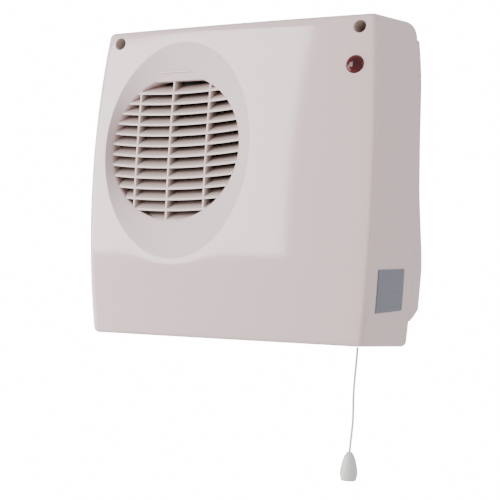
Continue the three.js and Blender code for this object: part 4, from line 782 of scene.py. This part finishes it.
bmesh.ops.translate(cap, verts=[item for item in behind if isinstance(item, bmesh.types.BMVert)],
                    vec=(0, CAP_THICKNESS, 0))
bmesh.ops.recalc_face_normals(cap, faces=cap.faces)
for face in cap.faces:
    face.material_index = 1
add_bar(cap)
ridge = bar((RIDGE_LENGTH, RIDGE_OUT, RIDGE_THICKNESS), 0)
for vertex in ridge.verts:
    x, y, z = vertex.co
    thin = 1 - abs(2 * x / RIDGE_LENGTH) ** 3
    z = INTAKE_Z + RIDGE_HEIGHT + z * thin - x * x / 400
    vertex.co = (RIDGE_X + x, y * thin - front_face(RIDGE_X + x, z) + dish(RIDGE_X + x, z), z)
for face in ridge.faces:
    face.material_index = 2
add_bar(ridge)
louvres = add_piece("cover_louvres", louvres_bm, louvre_ivory, "casing")
louvres.data.materials.append(ivory_satin)
louvres.data.materials.append(ivory)
# Each point's share of the way back from the louvres' front edges, which sets the painted shade between them.
behind = louvres.data.attributes.new("behind", "FLOAT", "POINT")
for vertex in louvres.data.vertices:
    x, y, z = vertex.co * 1000
    behind.data[vertex.index].value = min(1, max(0, (louvre_face(x, z) + y) / LOUVRE_REACH))

# ---- Neon ------------------------------------------------------------------------------------------------
# A red glow lamp under a clear ruby dome that is pressed through the front.
neon_out = Vector((-(front_face(NEON_X + 1, NEON_Z) - front_face(NEON_X, NEON_Z)), -1,
                   -(front_face(NEON_X, NEON_Z + 1) - front_face(NEON_X, NEON_Z)))).normalized()
ruby, ruby_shader, ruby_tree, ruby_links = new_material("ruby_lens", (0.1, 0.0005, 0.002), 0.12)
ruby_shader.inputs["Transmission Weight"].default_value = 0.35
ruby_shader.inputs["IOR"].default_value = 1.49
ruby_shader.inputs["Specular IOR Level"].default_value = 0.35
# Painted shade: the lens's colour is painted darkest over the lamp's dark bore behind it, and grows redder
# towards its rim.
ruby_place = ruby_tree.new("ShaderNodeTexCoord")
ruby_reach = ruby_tree.new("ShaderNodeVectorMath")
ruby_reach.operation = "DISTANCE"
ruby_reach.inputs[1].default_value = Vector(
    (NEON_X + 1, -(front_face(NEON_X, NEON_Z) + 2), NEON_Z)) / 1000
ruby_links.new(ruby_place.outputs["Object"], ruby_reach.inputs[0])
ruby_span = ruby_tree.new("ShaderNodeMapRange")
ruby_span.inputs["From Min"].default_value = 0.0008
ruby_span.inputs["From Max"].default_value = NEON_RADIUS / 1000
ruby_links.new(ruby_reach.outputs["Value"], ruby_span.inputs["Value"])
ruby_painted_shade = two_tone(ruby_tree, ruby_links, ruby_span.outputs["Result"], (0.028, 0.0004, 0.0012),
                     (0.15, 0.0008, 0.003))
ruby_links.new(ruby_painted_shade, ruby_shader.inputs["Base Color"])
DOME_HEIGHT, DOME_STEPS = 3.6, 12
neck = NEON_RADIUS - 0.3
dome = [(neck * math.sin(angle), DOME_HEIGHT * math.cos(angle))
        for angle in (k / DOME_STEPS * math.pi / 2 for k in range(DOME_STEPS + 1))]
# Below the dome are the catch behind the cover's wall and the bore for the lamp.
lens_profile = [*dome, (neck, -2.8), (neck + 1.6, -2.8), (neck + 1.6, -4.3), (neck, -4.3), (neck, -8.8),
                (3.3, -8.8), (3.3, -0.6), (2.4, 0.3), (0, 0.6)]
lens = spun(lens_profile, (0, 0, 0), 48)
bmesh.ops.rotate(lens, verts=lens.verts, matrix=Vector((0, 0, 1)).rotation_difference(neon_out).to_matrix())
bmesh.ops.translate(lens, verts=lens.verts, vec=(NEON_X, -front_face(NEON_X, NEON_Z), NEON_Z))
lens_piece = add_piece("neon_dome", lens, ruby, "casing", 30)
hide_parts("neon_lens")
finish_nodes(new_material("lamp_glass", (0.85, 0.5, 0.4), 0.1)[0], "neon_lamp")

# ---- Sticker ---------------------------------------------------------------------------------------------
# A silver-grey film label stuck on the right side, near the bottom. It is blank.
label_film, label_shader, label_tree, label_links = new_material(
    "label_film", (0.16, 0.17, 0.215), 0.35, 0.35)
label_place = label_tree.new("ShaderNodeTexCoord")
label_grain = label_tree.new("ShaderNodeTexNoise")
label_grain.inputs["Scale"].default_value = 500
label_stretch = label_tree.new("ShaderNodeMapping")
label_stretch.inputs["Scale"].default_value = (1, 0.05, 1)
label_links.new(label_place.outputs["Object"], label_stretch.inputs["Vector"])
label_links.new(label_stretch.outputs["Vector"], label_grain.inputs["Vector"])
label_shade = two_tone(label_tree, label_links, label_grain.outputs["Fac"], (0.145, 0.155, 0.195),
                       (0.18, 0.19, 0.24))
label_links.new(label_shade, label_shader.inputs["Base Color"])
finish_nodes(label_film, "rating_label")
